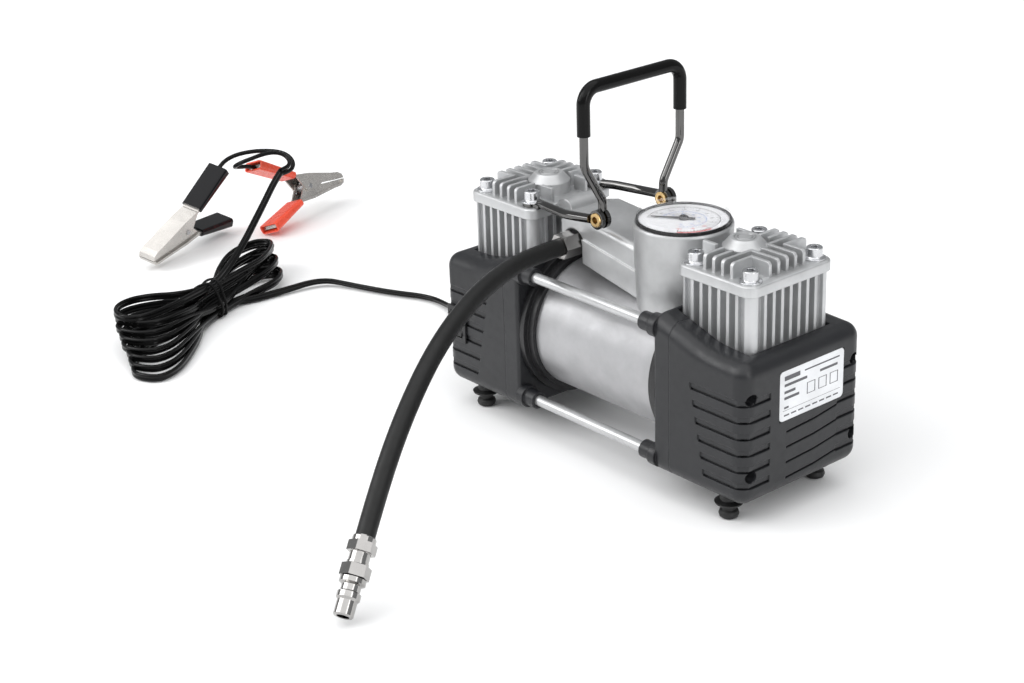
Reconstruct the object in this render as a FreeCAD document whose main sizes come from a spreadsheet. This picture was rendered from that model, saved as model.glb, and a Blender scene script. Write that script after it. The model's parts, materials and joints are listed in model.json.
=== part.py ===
"""Twin stack compressor: a 12 V car compressor with a finned cylinder stack at each end of one motor.

+X runs along the motor towards the stack with the rating plate, -Y is the front, where the hose
leaves, and +Z is up. The origin is on the floor, below the middle of the motor. Millimetres.
Stack A is at -X and stack B at +X. A piece that both stacks have is drawn for stack B and turned
half round for stack A.
"""
import FreeCAD, Part
import math
import os

import Sketcher
from FreeCAD import Placement, Rotation, Vector

DRIVING_SIZES = {
    "body_length": 235.0,
    "cap_depth": 89.0,
    "cap_bottom": 14.2,
    "cap_low_top": 92.0,
    "cap_high_top": 104.0,
    "cap_join": 65.0,
    "cap_inner_face": 53.5,
    "cap_wall": 3.0,
    "cap_rounding": 8.0,
    "louvre_pitch": 9.1,
    "louvre_low": 25.0,
    "louvre_start": 89.7,
    "louvre_lean": 1.86,
    "cover_screw_reach": 38.0,
    "cover_screw_low": 31.0,
    "cover_screw_high": 73.5,
    "motor_height": 59.0,
    "can_radius": 38.0,
    "can_wall": 2.0,
    "can_half_length": 50.0,
    "shield_radius": 40.5,
    "shield_flange_radius": 43.5,
    "shaft_radius": 4.0,
    "shaft_half_length": 74.0,
    "bearing_radius": 11.0,
    "bearing_width": 7.0,
    "core_radius": 30.0,
    "core_length": 50.0,
    "magnet_inner_radius": 31.0,
    "stack_offset": 82.0,
    "block_length": 50.0,
    "block_depth": 59.0,
    "block_bottom": 84.0,
    "block_top": 122.5,
    "fin_pitch": 6.2,
    "fin_thick": 2.0,
    "fin_deep": 5.0,
    "bore_radius": 17.0,
    "seal_clearance": 0.05,
    "crank_throw": 7.0,
    "rod_length": 55.7,
    "plate_overhang": 1.5,
    "plate_thick": 5.9,
    "top_fin_height": 8.1,
    "dome_shift": 7.0,
    "dome_radius": 11.8,
    "head_screw_x": 19.0,
    "head_screw_y": 23.4,
    "head_screw_radius": 2.5,
    "tie_rod_reach": 40.0,
    "tie_rod_low": 22.4,
    "tie_rod_high": 95.7,
    "tie_rod_radius": 3.0,
    "foot_reach_x": 97.2,
    "foot_reach_y": 33.0,
    "plate_width": 48.0,
    "plate_height": 27.5,
    "gauge_offset": 31.0,
    "cup_top_radius": 26.6,
    "cup_bottom_radius": 24.6,
    "cup_top": 137.0,
    "gauge_radius": 25.1,
    "lens_radius": 24.3,
    "dial_height": 137.6,
    "manifold_half_depth": 18.8,
    "pivot_offset": 7.0,
    "pivot_height": 134.5,
    "rivet_radius": 3.1,
    "running_clearance": 0.05,
    "bail_rod_radius": 2.4,
    "bail_half_width": 35.0,
    "bail_top": 207.5,
    "grip_radius": 3.6,
    "arm_rod_radius": 2.5,
    "hose_radius": 5.0,
    "cord_radius": 2.5,
    "core_lead_radius": 1.5,
    "hank_height": 27.0,
    "clamp_half_width": 6.5,
    "clamp_pin_radius": 1.8,
    "rocker_pin_radius": 1.2,
}

# Where the free leads and the hose lie: points chosen by hand, in millimetres.
HOSE_ROUTE = [
    (-34.0, -30.0, 112.8), (-33.2, -51.0, 113.2), (-27.5, -75.5, 112.6), (-16.5, -107.5, 108.3),
    (-2.0, -143.0, 96.0), (12.0, -174.0, 76.0), (24.0, -199.5, 52.5), (34.5, -218.5, 32.5),
]
POWER_ROUTE = [
    (-139.5, 12.0, 45.0), (-151.0, 12.3, 43.6), (-167.0, 15.0, 36.5), (-184.0, 22.0, 22.0),
    (-203.0, 32.5, 8.5), (-224.0, 43.5, 2.8), (-247.0, 45.0, 2.6), (-272.0, 31.5, 2.6),
    (-300.0, 21.5, 2.6), (-322.0, 11.5, 4.0), (-340.0, -6.0, 6.5),
]
TAIL_ROUTE = [
    (-325.0, -70.0, 16.0), (-337.0, -52.0, 24.0), (-352.0, -29.0, 31.5), (-368.0, -8.0, 38.5),
    (-384.0, 12.5, 45.0), (-398.0, 29.5, 50.0), (-408.0, 42.0, 52.0),
]
RED_ROUTE = [
    (-407.9, 41.8, 53.5), (-409.4, 48.8, 53.6), (-412.3, 53.4, 55.0), (-417.0, 55.1, 57.5),
    (-421.7, 53.4, 60.0), (-424.6, 47.5, 61.6), (-425.0, 38.0, 61.8), (-424.5, 28.8, 61.0),
    (-427.7, 23.6, 59.1), (-433.0, 21.6, 56.0), (-438.3, 23.6, 52.9), (-441.5, 29.5, 51.0),
    (-442.0, 40.0, 49.2), (-442.9, 51.0, 44.0),
]
BLACK_ROUTE = [
    (-408.1, 42.2, 50.5), (-408.6, 50.7, 50.6), (-412.6, 56.8, 52.9), (-419.0, 59.1, 56.0),
    (-425.4, 56.8, 59.1), (-429.6, 49.5, 61.2), (-434.0, 38.5, 62.5), (-440.5, 28.5, 61.0),
    (-445.4, 20.8, 57.2), (-445.5, 13.8, 51.4), (-444.2, 6.5, 46.1),
]
HOSE_END_DIRECTION = Vector(0.356, -0.644, -0.678).normalize()

GLAND_Y = 12
GLAND_Z = 45
PLATE_SHEET = 0.4
NEEDLE_REST = 215
EYE_THICK = 2.4
ROCKER_PIVOT_DEPTH = 1.4
BAIL_EYE_Y = 22.4
ARM_EYE_Y = 26.2
ARM_EYE_THICK = 2.2

SIDES = {"a": -1, "b": 1}
HALF_TURN = Rotation(Vector(0, 0, 1), 180)
ALONG = {
    "x": Rotation(Vector(0, 1, 0), 90),
    "y": Rotation(Vector(1, 0, 0), -90),
    "z": Rotation(),
}


class Size:
    """A length together with the spreadsheet expression that gives it."""

    def __init__(self, value, text):
        self.value = value
        self.text = text

    def join(self, sign, other, value):
        return Size(value, f"({self.text} {sign} {text_of(other)})")

    def __add__(self, other):
        return self.join("+", other, self.value + number(other))

    def __radd__(self, other):
        return self + other

    def __sub__(self, other):
        return self.join("-", other, self.value - number(other))

    def __rsub__(self, other):
        return Size(number(other) - self.value, f"({text_of(other)} - {self.text})")

    def __mul__(self, other):
        return self.join("*", other, self.value * number(other))

    def __rmul__(self, other):
        return self * other

    def __truediv__(self, other):
        return self.join("/", other, self.value / number(other))

    def __neg__(self):
        return 0 - self


def number(size):
    return size.value if isinstance(size, Size) else float(size)


def text_of(size):
    return size.text if isinstance(size, Size) else f"({size})"


class Dims:
    """The driving sizes, as attributes bound to the cells of the spreadsheet."""

    def __init__(self, sheet):
        for row, (alias, length) in enumerate(DRIVING_SIZES.items(), start=1):
            sheet.set(f"A{row}", alias.replace("_", " "))
            sheet.set(f"B{row}", f"{length}")
            sheet.setAlias(f"B{row}", alias)
            setattr(self, alias, Size(length, f"Dims.{alias}"))


doc = FreeCAD.newDocument("TwinStackCompressor")
dims = Dims(doc.addObject("Spreadsheet::Sheet", "Dims"))
doc.recompute()
subparts = []


# ------------------------------------------------------------------ general helpers

def bind(item, prop, size):
    """Set a property and, where the size comes from the sheet, its expression."""
    setattr(item, prop, number(size))
    if isinstance(size, Size):
        item.setExpression(prop, size.text)


def place(item, at, rotation=None):
    """Put an item at a point whose coordinates may follow the sheet."""
    item.Placement = Placement(Vector(*map(number, at)), rotation or Rotation())
    for axis, value in zip("xyz", at):
        if isinstance(value, Size):
            item.setExpression(f"Placement.Base.{axis}", value.text)
    return item


def subpart(item, label):
    """Keep an item as a finished sub-part of that name."""
    item.Label = label
    subparts.append(item)
    return item


def outward(side):
    """The rotation that lays an item's Z axis along +X or -X, away from the middle."""
    return Rotation(Vector(0, 1, 0), 90 * side)


def facing(side):
    """The rotation that turns a piece drawn for stack B to its own stack."""
    return Rotation() if side > 0 else HALF_TURN


def primitive(kind, name, at, rotation=None, **sizes):
    item = doc.addObject(f"Part::{kind}", name)
    for prop, size in sizes.items():
        bind(item, prop, size)
    return place(item, at, rotation)


def cylinder(name, radius, length, at, rotation=None):
    return primitive("Cylinder", name, at, rotation, Radius=radius, Height=length)


def box(name, low, high):
    """A box between two corners."""
    length, width, height = [far - near for near, far in zip(low, high)]
    return primitive("Box", name, low, Length=length, Width=width, Height=height)


def fuse(name, *items):
    item = doc.addObject("Part::MultiFuse", name)
    item.Shapes = list(items)
    return item


def cut(name, base, *tools):
    item = doc.addObject("Part::Cut", name)
    item.Base = base
    item.Tool = tools[0] if len(tools) == 1 else fuse(f"{name}Tools", *tools)
    return item


def group(name, *items):
    """Separate solids that share one node."""
    item = doc.addObject("Part::Compound", name)
    item.Links = list(items)
    return item


# ------------------------------------------------------------------ sketches and features

def new_body(name):
    return doc.addObject("PartDesign::Body", name)


def origin_feature(body, role):
    return next(item for item in body.Origin.OriginFeatures if item.Role == role)


def new_sketch(body, plane, height=0):
    """An empty sketch on an origin plane of its body, moved along the plane's normal."""
    item = body.newObject("Sketcher::SketchObject", f"{body.Name}Sketch")
    item.AttachmentSupport = [(origin_feature(body, plane), "")]
    item.MapMode = "FlatFace"
    item.AttachmentOffset = Placement(Vector(0, 0, number(height)), Rotation())
    if isinstance(height, Size):
        item.setExpression("AttachmentOffset.Base.z", height.text)
    return item


def constrain(sketch, size, *constraint):
    """Add a dimension to a sketch and tie it to the sheet."""
    index = sketch.addConstraint(Sketcher.Constraint(*constraint, number(size)))
    if isinstance(size, Size):
        sketch.setExpression(f"Constraints[{index}]", size.text)


def fix_point(sketch, geometry, vertex, point):
    constrain(sketch, point[0], "DistanceX", -1, 1, geometry, vertex)
    constrain(sketch, point[1], "DistanceY", -1, 1, geometry, vertex)


def outline(sketch, points):
    """A closed outline of straight runs, fixed at each corner."""
    corners = [Vector(number(x), number(y), 0) for x, y in points]
    following = corners[1:] + corners[:1]
    lines = [sketch.addGeometry(Part.LineSegment(*ends)) for ends in zip(corners, following)]
    for line, after in zip(lines, lines[1:] + lines[:1]):
        sketch.addConstraint(Sketcher.Constraint("Coincident", line, 2, after, 1))
    for line, point in zip(lines, points):
        fix_point(sketch, line, 1, point)


def rectangle(sketch, low, high):
    outline(sketch, [low, (high[0], low[1]), high, (low[0], high[1])])


def circle(sketch, centre, radius):
    middle = Vector(number(centre[0]), number(centre[1]), 0)
    geometry = sketch.addGeometry(Part.Circle(middle, Vector(0, 0, 1), number(radius)))
    fix_point(sketch, geometry, 3, centre)
    constrain(sketch, radius, "Radius", geometry)


def hexagon(sketch, centre, across_flats):
    reach = across_flats / math.sqrt(3)
    angles = [math.radians(60 * step) for step in range(6)]
    outline(sketch, [(centre[0] + reach * math.cos(a), centre[1] + reach * math.sin(a)) for a in angles])


def pad(body, sketch, length, midplane=False, reverse=False):
    item = body.newObject("PartDesign::Pad", f"{body.Name}Pad")
    item.Profile = sketch
    bind(item, "Length", length)
    item.Midplane = midplane
    item.Reversed = reverse
    doc.recompute()
    return item


def pocket(body, sketch, length, midplane=False, reverse=False):
    """Cut a sketch into its body, and make sure that it took something away."""
    before = body.Shape.Volume
    item = body.newObject("PartDesign::Pocket", f"{body.Name}Pocket")
    item.Profile = sketch
    bind(item, "Length", length)
    item.Midplane = midplane
    item.Reversed = reverse
    doc.recompute()
    if body.Shape.Volume >= before - 1e-6:
        raise RuntimeError(f"{item.Name} cuts nothing")
    return item


def repeat(body, feature, role, spacing, count):
    """Repeat a feature along an axis of its body."""
    item = body.newObject("PartDesign::LinearPattern", f"{body.Name}Pattern")
    item.Originals = [feature]
    item.Direction = (origin_feature(body, role), [""])
    item.Occurrences = count
    bind(item, "Length", spacing * (count - 1))
    body.Tip = item
    doc.recompute()


def repeat_around(body, feature, count):
    """Repeat a feature around the Z axis of its body."""
    item = body.newObject("PartDesign::PolarPattern", f"{body.Name}Pattern")
    item.Originals = [feature]
    item.Axis = (origin_feature(body, "Z_Axis"), [""])
    item.Angle = 360
    item.Occurrences = count
    body.Tip = item
    doc.recompute()


def round_edges(body, radius, chosen):
    """Fillet the edges whose middle point the test accepts."""
    base = body.Tip
    names = []
    for index, edge in enumerate(body.Shape.Edges, start=1):
        middle = edge.valueAt((edge.FirstParameter + edge.LastParameter) / 2)
        if chosen(middle, edge):
            names.append(f"Edge{index}")
    item = body.newObject("PartDesign::Fillet", f"{body.Name}Fillet")
    item.Base = (base, names)
    bind(item, "Radius", radius)
    doc.recompute()
    return item


def turned(name, profile, at, rotation=None):
    """A turned piece: a profile of (radius, height) revolved about its own Z axis."""
    body = new_body(name)
    sketch = new_sketch(body, "XZ_Plane")
    outline(sketch, profile)
    item = body.newObject("PartDesign::Revolution", f"{name}Turn")
    item.Profile = sketch
    item.ReferenceAxis = (sketch, ["V_Axis"])
    item.Angle = 360
    return place(body, at, rotation)


def ring(name, inner, outer, low, high, at, rotation=None):
    """A plain turned ring."""
    profile = [(inner, low), (outer, low), (outer, high), (inner, high)]
    return turned(name, profile, at, rotation)


# ------------------------------------------------------------------ bent rods and cords

def bent_path(points, radii):
    """A path of straight runs joined by tangent arcs, one radius for each inner point."""
    corners = [Vector(*point) for point in points]
    edges = []
    start = corners[0]
    for before, corner, after, radius in zip(corners, corners[1:], corners[2:], radii):
        into = (corner - before).normalize()
        away = (after - corner).normalize()
        turn = into.getAngle(away)
        reach = radius * math.tan(turn / 2)
        first = corner - into * reach
        last = corner + away * reach
        bulge = (away - into).normalize() * (radius / math.cos(turn / 2) - radius)
        edges.append(Part.LineSegment(start, first).toShape())
        edges.append(Part.Arc(first, corner + bulge, last).toShape())
        start = last
    edges.append(Part.LineSegment(start, corners[-1]).toShape())
    return Part.Wire(edges)


def swept(points, radii, radius):
    """A round rod along a bent path, and the path's length."""
    path = bent_path(points, radii)
    along = Vector(*points[1]) - Vector(*points[0])
    section = Part.Wire([Part.Circle(Vector(*points[0]), along, radius).toShape()])
    return path.makePipeShell([section], True, False), path.Length


def bent_rod(name, points, bend_radius, radius):
    """A bent rod as a feature, with the same bend at each corner."""
    shape, _ = swept(points, [bend_radius] * (len(points) - 2), radius)
    item = doc.addObject("Part::Feature", name)
    item.Shape = shape
    return item


def cord_radii(points):
    """The largest arc that the runs beside each inner point allow."""
    corners = [Vector(*point) for point in points]
    radii = []
    for before, corner, after in zip(corners, corners[1:], corners[2:]):
        shorter = min((corner - before).Length, (after - corner).Length)
        turn = (corner - before).getAngle(after - corner)
        radii.append(0.45 * shorter / math.tan(turn / 2))
    return radii


def cord(label, points, size):
    """The tube of a free cord. Its volume must be its section times its length."""
    radius = number(size)
    radii = cord_radii(points)
    shape, length = swept(points, radii, radius)
    expected = math.pi * radius ** 2 * length
    if abs(shape.Volume / expected - 1) > 0.01:
        raise RuntimeError(f"{label}: volume {shape.Volume:.0f}, expected {expected:.0f}")
    print(label, f"length {length:.0f}", "arc radii", [round(value) for value in radii])
    item = doc.addObject("Part::Feature", label)
    item.Shape = shape
    item.Placement = Placement()
    return subpart(item, label)


# ------------------------------------------------------------------ motor

def at_motor():
    return (0, 0, dims.motor_height)


def motor_can():
    inner = dims.can_radius - dims.can_wall
    reach = dims.can_half_length
    can = ring("MotorCan", inner, dims.can_radius, -reach, reach, at_motor(), ALONG["x"])
    subpart(can, "motor_can")


def end_shield(letter, side):
    """The black end ring of the motor, with the bearing seat in its middle."""
    seat_wall = 4
    face = dims.can_half_length
    outer_face = dims.cap_inner_face
    seat = dims.bearing_radius
    lip = face - 4.5
    seat_start = outer_face - dims.bearing_width
    profile = [
        (seat, seat_start), (seat + seat_wall, seat_start), (seat + seat_wall, face),
        (dims.can_radius, face), (dims.can_radius, lip), (dims.shield_radius, lip),
        (dims.shield_radius, face), (dims.shield_flange_radius, face),
        (dims.shield_flange_radius, outer_face), (seat, outer_face),
    ]
    shield = turned(f"EndShield{letter}", profile, at_motor(), outward(side))
    if side < 0:
        shield = fuse("EndShieldWithBrushBoxes", shield, *[brush_box(way) for way in (-1, 1)])
    subpart(shield, f"end_shield_{letter}")


def brush_box(way):
    """A rib of the end shield that backs one carbon brush."""
    near, far = sorted((20 * way, 24 * way))
    low = (-dims.can_half_length, near, dims.motor_height - 5)
    high = (-dims.can_half_length + 11, far, dims.motor_height + 5)
    return box(f"BrushBox{near}".replace("-", "N"), low, high)


def carbon_brushes():
    start = -dims.can_half_length + 5
    brushes = []
    for name, near, far in (("BrushFront", -20, -11), ("BrushBack", 11, 20)):
        low = (start, near, dims.motor_height - 3)
        high = (start + 6, far, dims.motor_height + 3)
        brushes.append(box(name, low, high))
    subpart(group("Brushes", *brushes), "carbon_brushes")


def field_magnets():
    """Two arc magnets on the inside of the can, in front of and behind the armature."""
    arc = 110
    length = dims.core_length + 4
    magnets = []
    for name, middle in (("MagnetFront", 270), ("MagnetBack", 90)):
        start = ALONG["x"].multiply(Rotation(Vector(0, 0, 1), middle - arc / 2))
        at = (-length / 2, 0, dims.motor_height)
        shell = cylinder(name, dims.can_radius - dims.can_wall, length, at, start)
        shell.Angle = arc
        hollow = cylinder(f"{name}Hollow", dims.magnet_inner_radius, length, at, start)
        magnets.append(cut(f"{name}Arc", shell, hollow))
    subpart(group("Magnets", *magnets), "field_magnets")


def motor_shaft():
    reach = dims.shaft_half_length
    radius = dims.shaft_radius
    bevel = 0.5
    profile = [
        (0, -reach), (radius - bevel, -reach), (radius, bevel - reach),
        (radius, reach - bevel), (radius - bevel, reach), (0, reach),
    ]
    subpart(turned("Shaft", profile, at_motor(), ALONG["x"]), "motor_shaft")


def armature_core():
    """The laminated core, with twelve slots for the winding."""
    body = new_body("Core")
    section = new_sketch(body, "XY_Plane")
    circle(section, (0, 0), dims.core_radius)
    circle(section, (0, 0), dims.shaft_radius)
    pad(body, section, dims.core_length, midplane=True)
    slot = new_sketch(body, "XY_Plane")
    rectangle(slot, (dims.core_radius - 9, -1.5), (dims.core_radius + 1, 1.5))
    repeat_around(body, pocket(body, slot, dims.core_length + 2, midplane=True), 12)
    subpart(place(body, at_motor(), ALONG["x"]), "armature_core")


def armature_windings():
    start = dims.core_length / 2
    profile = [
        (8, start), (22, start), (24, start + 2), (24, start + 8), (20, start + 12), (8, start + 12),
    ]
    ends = [turned(f"Winding{k}", profile, at_motor(), outward(side)) for k, side in SIDES.items()]
    subpart(group("Windings", *ends), "armature_windings")


def commutator():
    start = dims.core_length / 2 + 13
    part = ring("Commutator", dims.shaft_radius, 10.9, start, start + 7.5, at_motor(), outward(-1))
    subpart(part, "commutator")


def shaft_bearings():
    outer_face = dims.cap_inner_face
    inner_face = outer_face - dims.bearing_width
    rings = []
    for letter, side in SIDES.items():
        rings.append(ring(f"Bearing{letter}", dims.shaft_radius, dims.bearing_radius,
                          inner_face, outer_face, at_motor(), outward(side)))
    subpart(group("Bearings", *rings), "shaft_bearings")


# ------------------------------------------------------------------ crank and piston

def pin_height(side):
    """Stack A rests at the top of its stroke and stack B at the bottom."""
    return dims.motor_height - dims.crank_throw * side


def crank_discs():
    """A disc on each shaft end, with a counterweight opposite its crank pin."""
    thick = 6
    weight_arc = 150
    discs = []
    for letter, side in SIDES.items():
        at = ((dims.shaft_half_length - thick) * side, 0, dims.motor_height)
        disc = cylinder(f"CrankDisc{letter}", 13, thick, at, outward(side))
        start = outward(side).multiply(Rotation(Vector(0, 0, 1), 180 - weight_arc / 2))
        weight = cylinder(f"CrankWeight{letter}", 22, thick, at, start)
        weight.Angle = weight_arc
        shaft = cylinder(f"CrankHole{letter}", dims.shaft_radius, thick, at, outward(side))
        discs.append(cut(f"Crank{letter}", fuse(f"CrankBlank{letter}", disc, weight), shaft))
    subpart(group("CrankDiscs", *discs), "crank_discs")


def crank_pin(letter, side):
    """The pin and its needle bearing, held in the rod's big end just clear of the crank disc."""
    start = dims.shaft_half_length + 0.4
    shoulder = dims.stack_offset - 4
    end = dims.stack_offset + 4
    profile = [(0, start), (4, start), (4, shoulder), (7.5, shoulder), (7.5, end), (0, end)]
    pin = turned(f"CrankPin{letter}", profile, (0, 0, pin_height(side)), outward(side))
    subpart(pin, f"crank_pin_{letter}")


def piston(letter, side):
    """A wobble piston: the head, the rod and the big end are one casting."""
    middle = dims.stack_offset * side
    pin = pin_height(side)
    top = pin + dims.rod_length
    crown = dims.bore_radius - 0.8
    groove = crown - 1.7
    profile = [(0, 0), (crown, 0), (crown, 3), (groove, 3), (groove, 6), (crown, 6), (crown, 8), (0, 8)]
    head = turned(f"PistonHead{letter}", profile, (middle, 0, top - 8))
    shank = box(f"PistonRod{letter}", (middle - 2, -5, pin + 9), (middle + 2, 5, top - 7))
    at = (middle - 4, 0, pin)
    big_end = cylinder(f"BigEnd{letter}", 11, 8, at, ALONG["x"])
    hole = cylinder(f"BigEndHole{letter}", 7.5, 8, at, ALONG["x"])
    blank = fuse(f"PistonBlank{letter}", head, shank, big_end)
    subpart(cut(f"Piston{letter}", blank, hole), f"piston_{letter}")


def piston_seal(letter, side):
    at = (dims.stack_offset * side, 0, pin_height(side) + dims.rod_length - 5)
    outer = dims.bore_radius - dims.seal_clearance
    seal = ring(f"Seal{letter}", dims.bore_radius - 2.5, outer, 0, 3, at)
    subpart(seal, f"piston_seal_{letter}")


# ------------------------------------------------------------------ finned stack

def stack_place(body, side):
    return place(body, (dims.stack_offset * side, 0, 0), facing(side))


def fin_gaps(body, edge, across, deep, count):
    """Grooves between the fins of two opposite faces, repeated from the first one."""
    gap = dims.fin_pitch - dims.fin_thick
    first = -dims.fin_pitch * (count - 1) / 2
    sketch = new_sketch(body, "XY_Plane", dims.block_bottom + 6)
    for way in (-1, 1):
        inner = (edge - deep) * way
        outer = (edge + 1) * way
        near, far = (inner, outer) if way > 0 else (outer, inner)
        if across == "x":
            rectangle(sketch, (first - gap / 2, near), (first + gap / 2, far))
        else:
            rectangle(sketch, (near, first - gap / 2), (far, first + gap / 2))
    return pocket(body, sketch, dims.block_top - dims.block_bottom, reverse=True)


def cylinder_block(letter, side):
    """The finned cylinder and, below it, the leg that fastens it to the motor."""
    half_x = dims.block_length / 2
    half_y = dims.block_depth / 2
    body = new_body(f"Block{letter}")
    section = new_sketch(body, "XY_Plane", dims.block_bottom)
    rectangle(section, (-half_x, -half_y), (half_x, half_y))
    pad(body, section, dims.block_top - dims.block_bottom)
    upright = lambda middle, edge: edge.BoundBox.ZLength > 5
    round_edges(body, 5, upright)
    for half, across, role, count in ((half_y, "x", "X_Axis", 5), (half_x, "y", "Y_Axis", 6)):
        deep_gap = fin_gaps(body, half, across, dims.fin_deep, count)
        repeat(body, deep_gap, role, dims.fin_pitch, count)
        shallow_gap = fin_gaps(body, half, across, dims.fin_deep / 2, count + 2)
        repeat(body, shallow_gap, role, dims.fin_pitch * (count + 1), 2)
    leg = new_sketch(body, "YZ_Plane", dims.cap_inner_face + dims.cap_wall - dims.stack_offset)
    rectangle(leg, (-half_y, 32), (half_y, dims.block_bottom + 4))
    pad(body, leg, 5.5)
    shaft_hole = new_sketch(body, "YZ_Plane", -half_x + 10)
    circle(shaft_hole, (0, dims.motor_height), 12)
    pocket(body, shaft_hole, 14)
    bore = new_sketch(body, "XY_Plane", dims.block_top + 1)
    circle(bore, (0, 0), dims.bore_radius)
    pocket(body, bore, dims.block_top - dims.block_bottom + 2)
    holes = new_sketch(body, "XY_Plane", dims.block_top)
    for x in (-dims.head_screw_x, dims.head_screw_x):
        for y in (-dims.head_screw_y, dims.head_screw_y):
            circle(holes, (x, y), dims.head_screw_radius)
    pocket(body, holes, 22)
    subpart(stack_place(body, side), f"cylinder_{letter}")


def corner_fin(sketch, apex_x, apex_y, way):
    """An L-shaped fin that opens towards an outer corner of the head."""
    half = dims.fin_thick / 2
    end_x = dims.block_length / 2 - 3
    end_y = dims.block_depth / 2 - 2.5
    points = [
        (apex_x - half, apex_y - half), (end_x, apex_y - half), (end_x, apex_y + half),
        (apex_x + half, apex_y + half), (apex_x + half, end_y), (apex_x - half, end_y),
    ]
    outline(sketch, [(x, y * way) for x, y in points])


def top_fins(sketch):
    """The fins of the head: nested corners on the outer side, straight ones elsewhere."""
    half = dims.fin_thick / 2
    pitch = dims.fin_pitch
    end_y = dims.block_depth / 2 - 2.5
    for way in (-1, 1):
        corner_fin(sketch, pitch * 1.5, pitch * 2, way)
        corner_fin(sketch, pitch * 0.5, pitch, way)
        for x in (-pitch * 0.5, -pitch * 1.5):
            start = dims.dome_radius + 1.4
            near, far = (start, end_y) if way > 0 else (-end_y, -start)
            rectangle(sketch, (x - half, near), (x + half, far))
        middle = pitch * 2 * way
        rectangle(sketch, (-24, middle - half), (-15, middle + half))
    rectangle(sketch, (4, -half), (dims.block_length / 2 - 3, half))


def cylinder_head(letter, side):
    """The head plate with its fins and the domed valve cap."""
    half_x = dims.block_length / 2 + dims.plate_overhang
    half_y = dims.block_depth / 2 + dims.plate_overhang
    plate_top = dims.block_top + dims.plate_thick
    dome_x = -dims.dome_shift
    shoulder = plate_top + 6.7
    crown = shoulder + 4.3
    body = new_body(f"Head{letter}")
    plate = new_sketch(body, "XY_Plane", dims.block_top)
    rectangle(plate, (-half_x, -half_y), (half_x, half_y))
    pad(body, plate, dims.plate_thick)
    upright = lambda middle, edge: edge.BoundBox.ZLength > 5
    round_edges(body, 6, upright)
    top = number(plate_top)
    round_edges(body, 1.4, lambda middle, edge: abs(middle.z - top) < 0.01)
    fins = new_sketch(body, "XY_Plane", plate_top - 0.5)
    top_fins(fins)
    pad(body, fins, dims.top_fin_height + 0.5)
    fin_top = top + number(dims.top_fin_height)
    outer_x = number(dims.block_length) / 2 - 3
    outer_y = number(dims.block_depth) / 2 - 2.5

    def fin_end(middle, edge):
        at_end = abs(middle.x - outer_x) < 0.01 or abs(abs(middle.y) - outer_y) < 0.01
        return at_end and abs(middle.z - fin_top) < 0.01

    round_edges(body, 2.2, fin_end)
    drum = new_sketch(body, "XY_Plane", plate_top - 0.5)
    circle(drum, (dome_x, 0), dims.dome_radius)
    pad(body, drum, shoulder - plate_top + 0.5)
    low_ring = new_sketch(body, "XY_Plane", shoulder)
    circle(low_ring, (dome_x, 0), dims.dome_radius)
    high_ring = new_sketch(body, "XY_Plane", crown)
    circle(high_ring, (dome_x, 0), dims.dome_radius - 4.1)
    cone = body.newObject("PartDesign::AdditiveLoft", f"{body.Name}Cone")
    cone.Profile = low_ring
    cone.Sections = [high_ring]
    doc.recompute()
    for outer, inner in ((5.8, 5.1), (4.3, 3.6)):
        groove = new_sketch(body, "XY_Plane", crown)
        circle(groove, (dome_x, 0), outer)
        circle(groove, (dome_x, 0), inner)
        pocket(body, groove, 0.5)
    chamber = new_sketch(body, "XY_Plane", dims.block_top)
    circle(chamber, (dome_x + 2, 0), 11)
    pocket(body, chamber, 3.5, reverse=True)
    holes = new_sketch(body, "XY_Plane", plate_top + 1)
    for x in (-dims.head_screw_x, dims.head_screw_x):
        for y in (-dims.head_screw_y, dims.head_screw_y):
            circle(holes, (x, y), dims.head_screw_radius + 0.1)
    pocket(body, holes, dims.plate_thick + 2)
    if side > 0:
        notch = new_sketch(body, "XY_Plane", crown + 1)
        circle(notch, (dims.gauge_offset - dims.stack_offset, 0), dims.cup_top_radius + 0.4)
        pocket(body, notch, 20)
    subpart(stack_place(body, side), f"head_{letter}")


def head_screw(name, at):
    """A socket-head screw with a flange, drawn from the face that it clamps."""
    radius = dims.head_screw_radius
    profile = [
        (0, -25), (radius - 0.5, -25), (radius, -24.5), (radius, 0), (6, 0), (6, 0.7), (4.6, 1.2),
        (4.25, 1.6), (4.25, 5.8), (3.85, 6.2), (0, 6.2),
    ]
    body = turned(name, profile, at)
    doc.recompute()
    socket = new_sketch(body, "XY_Plane", 6.2)
    hexagon(socket, (0, 0), 4.0)
    pocket(body, socket, 2.6)
    return body


def head_screws():
    """Eight screws. The two nearest the handle also clamp the eyes of its arms."""
    plate_top = dims.block_top + dims.plate_thick
    screws = []
    for letter, side in SIDES.items():
        for inner in (-1, 1):
            for way in (-1, 1):
                x = (dims.stack_offset + dims.head_screw_x * inner) * side
                lift = ARM_EYE_THICK if side < 0 and inner < 0 else 0
                at = (x, dims.head_screw_y * way, plate_top + lift)
                screws.append(head_screw(f"HeadScrew{letter}{inner + 1}{way + 1}", at))
    subpart(group("HeadScrews", *screws), "head_screws")


# ------------------------------------------------------------------ end caps

def cavity_outline():
    """The cross-shaped hollow of an end cap: its corners are left solid for the screws."""
    narrow = dims.cover_screw_reach - 5
    wide = dims.cap_depth / 2 - dims.cap_wall
    bottom = dims.cap_bottom + dims.cap_wall
    top = dims.cap_low_top - 4
    low_step = dims.cover_screw_low + 6
    high_step = dims.cover_screw_high - 7
    half = [
        (narrow, bottom), (narrow, low_step), (wide, low_step), (wide, high_step),
        (narrow, high_step), (narrow, top),
    ]
    return half + [(-y, z) for y, z in reversed(half)]


def knee():
    """Where the slope of a cap's top meets its flat outer part."""
    return (88, dims.cap_low_top + 1)


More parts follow.
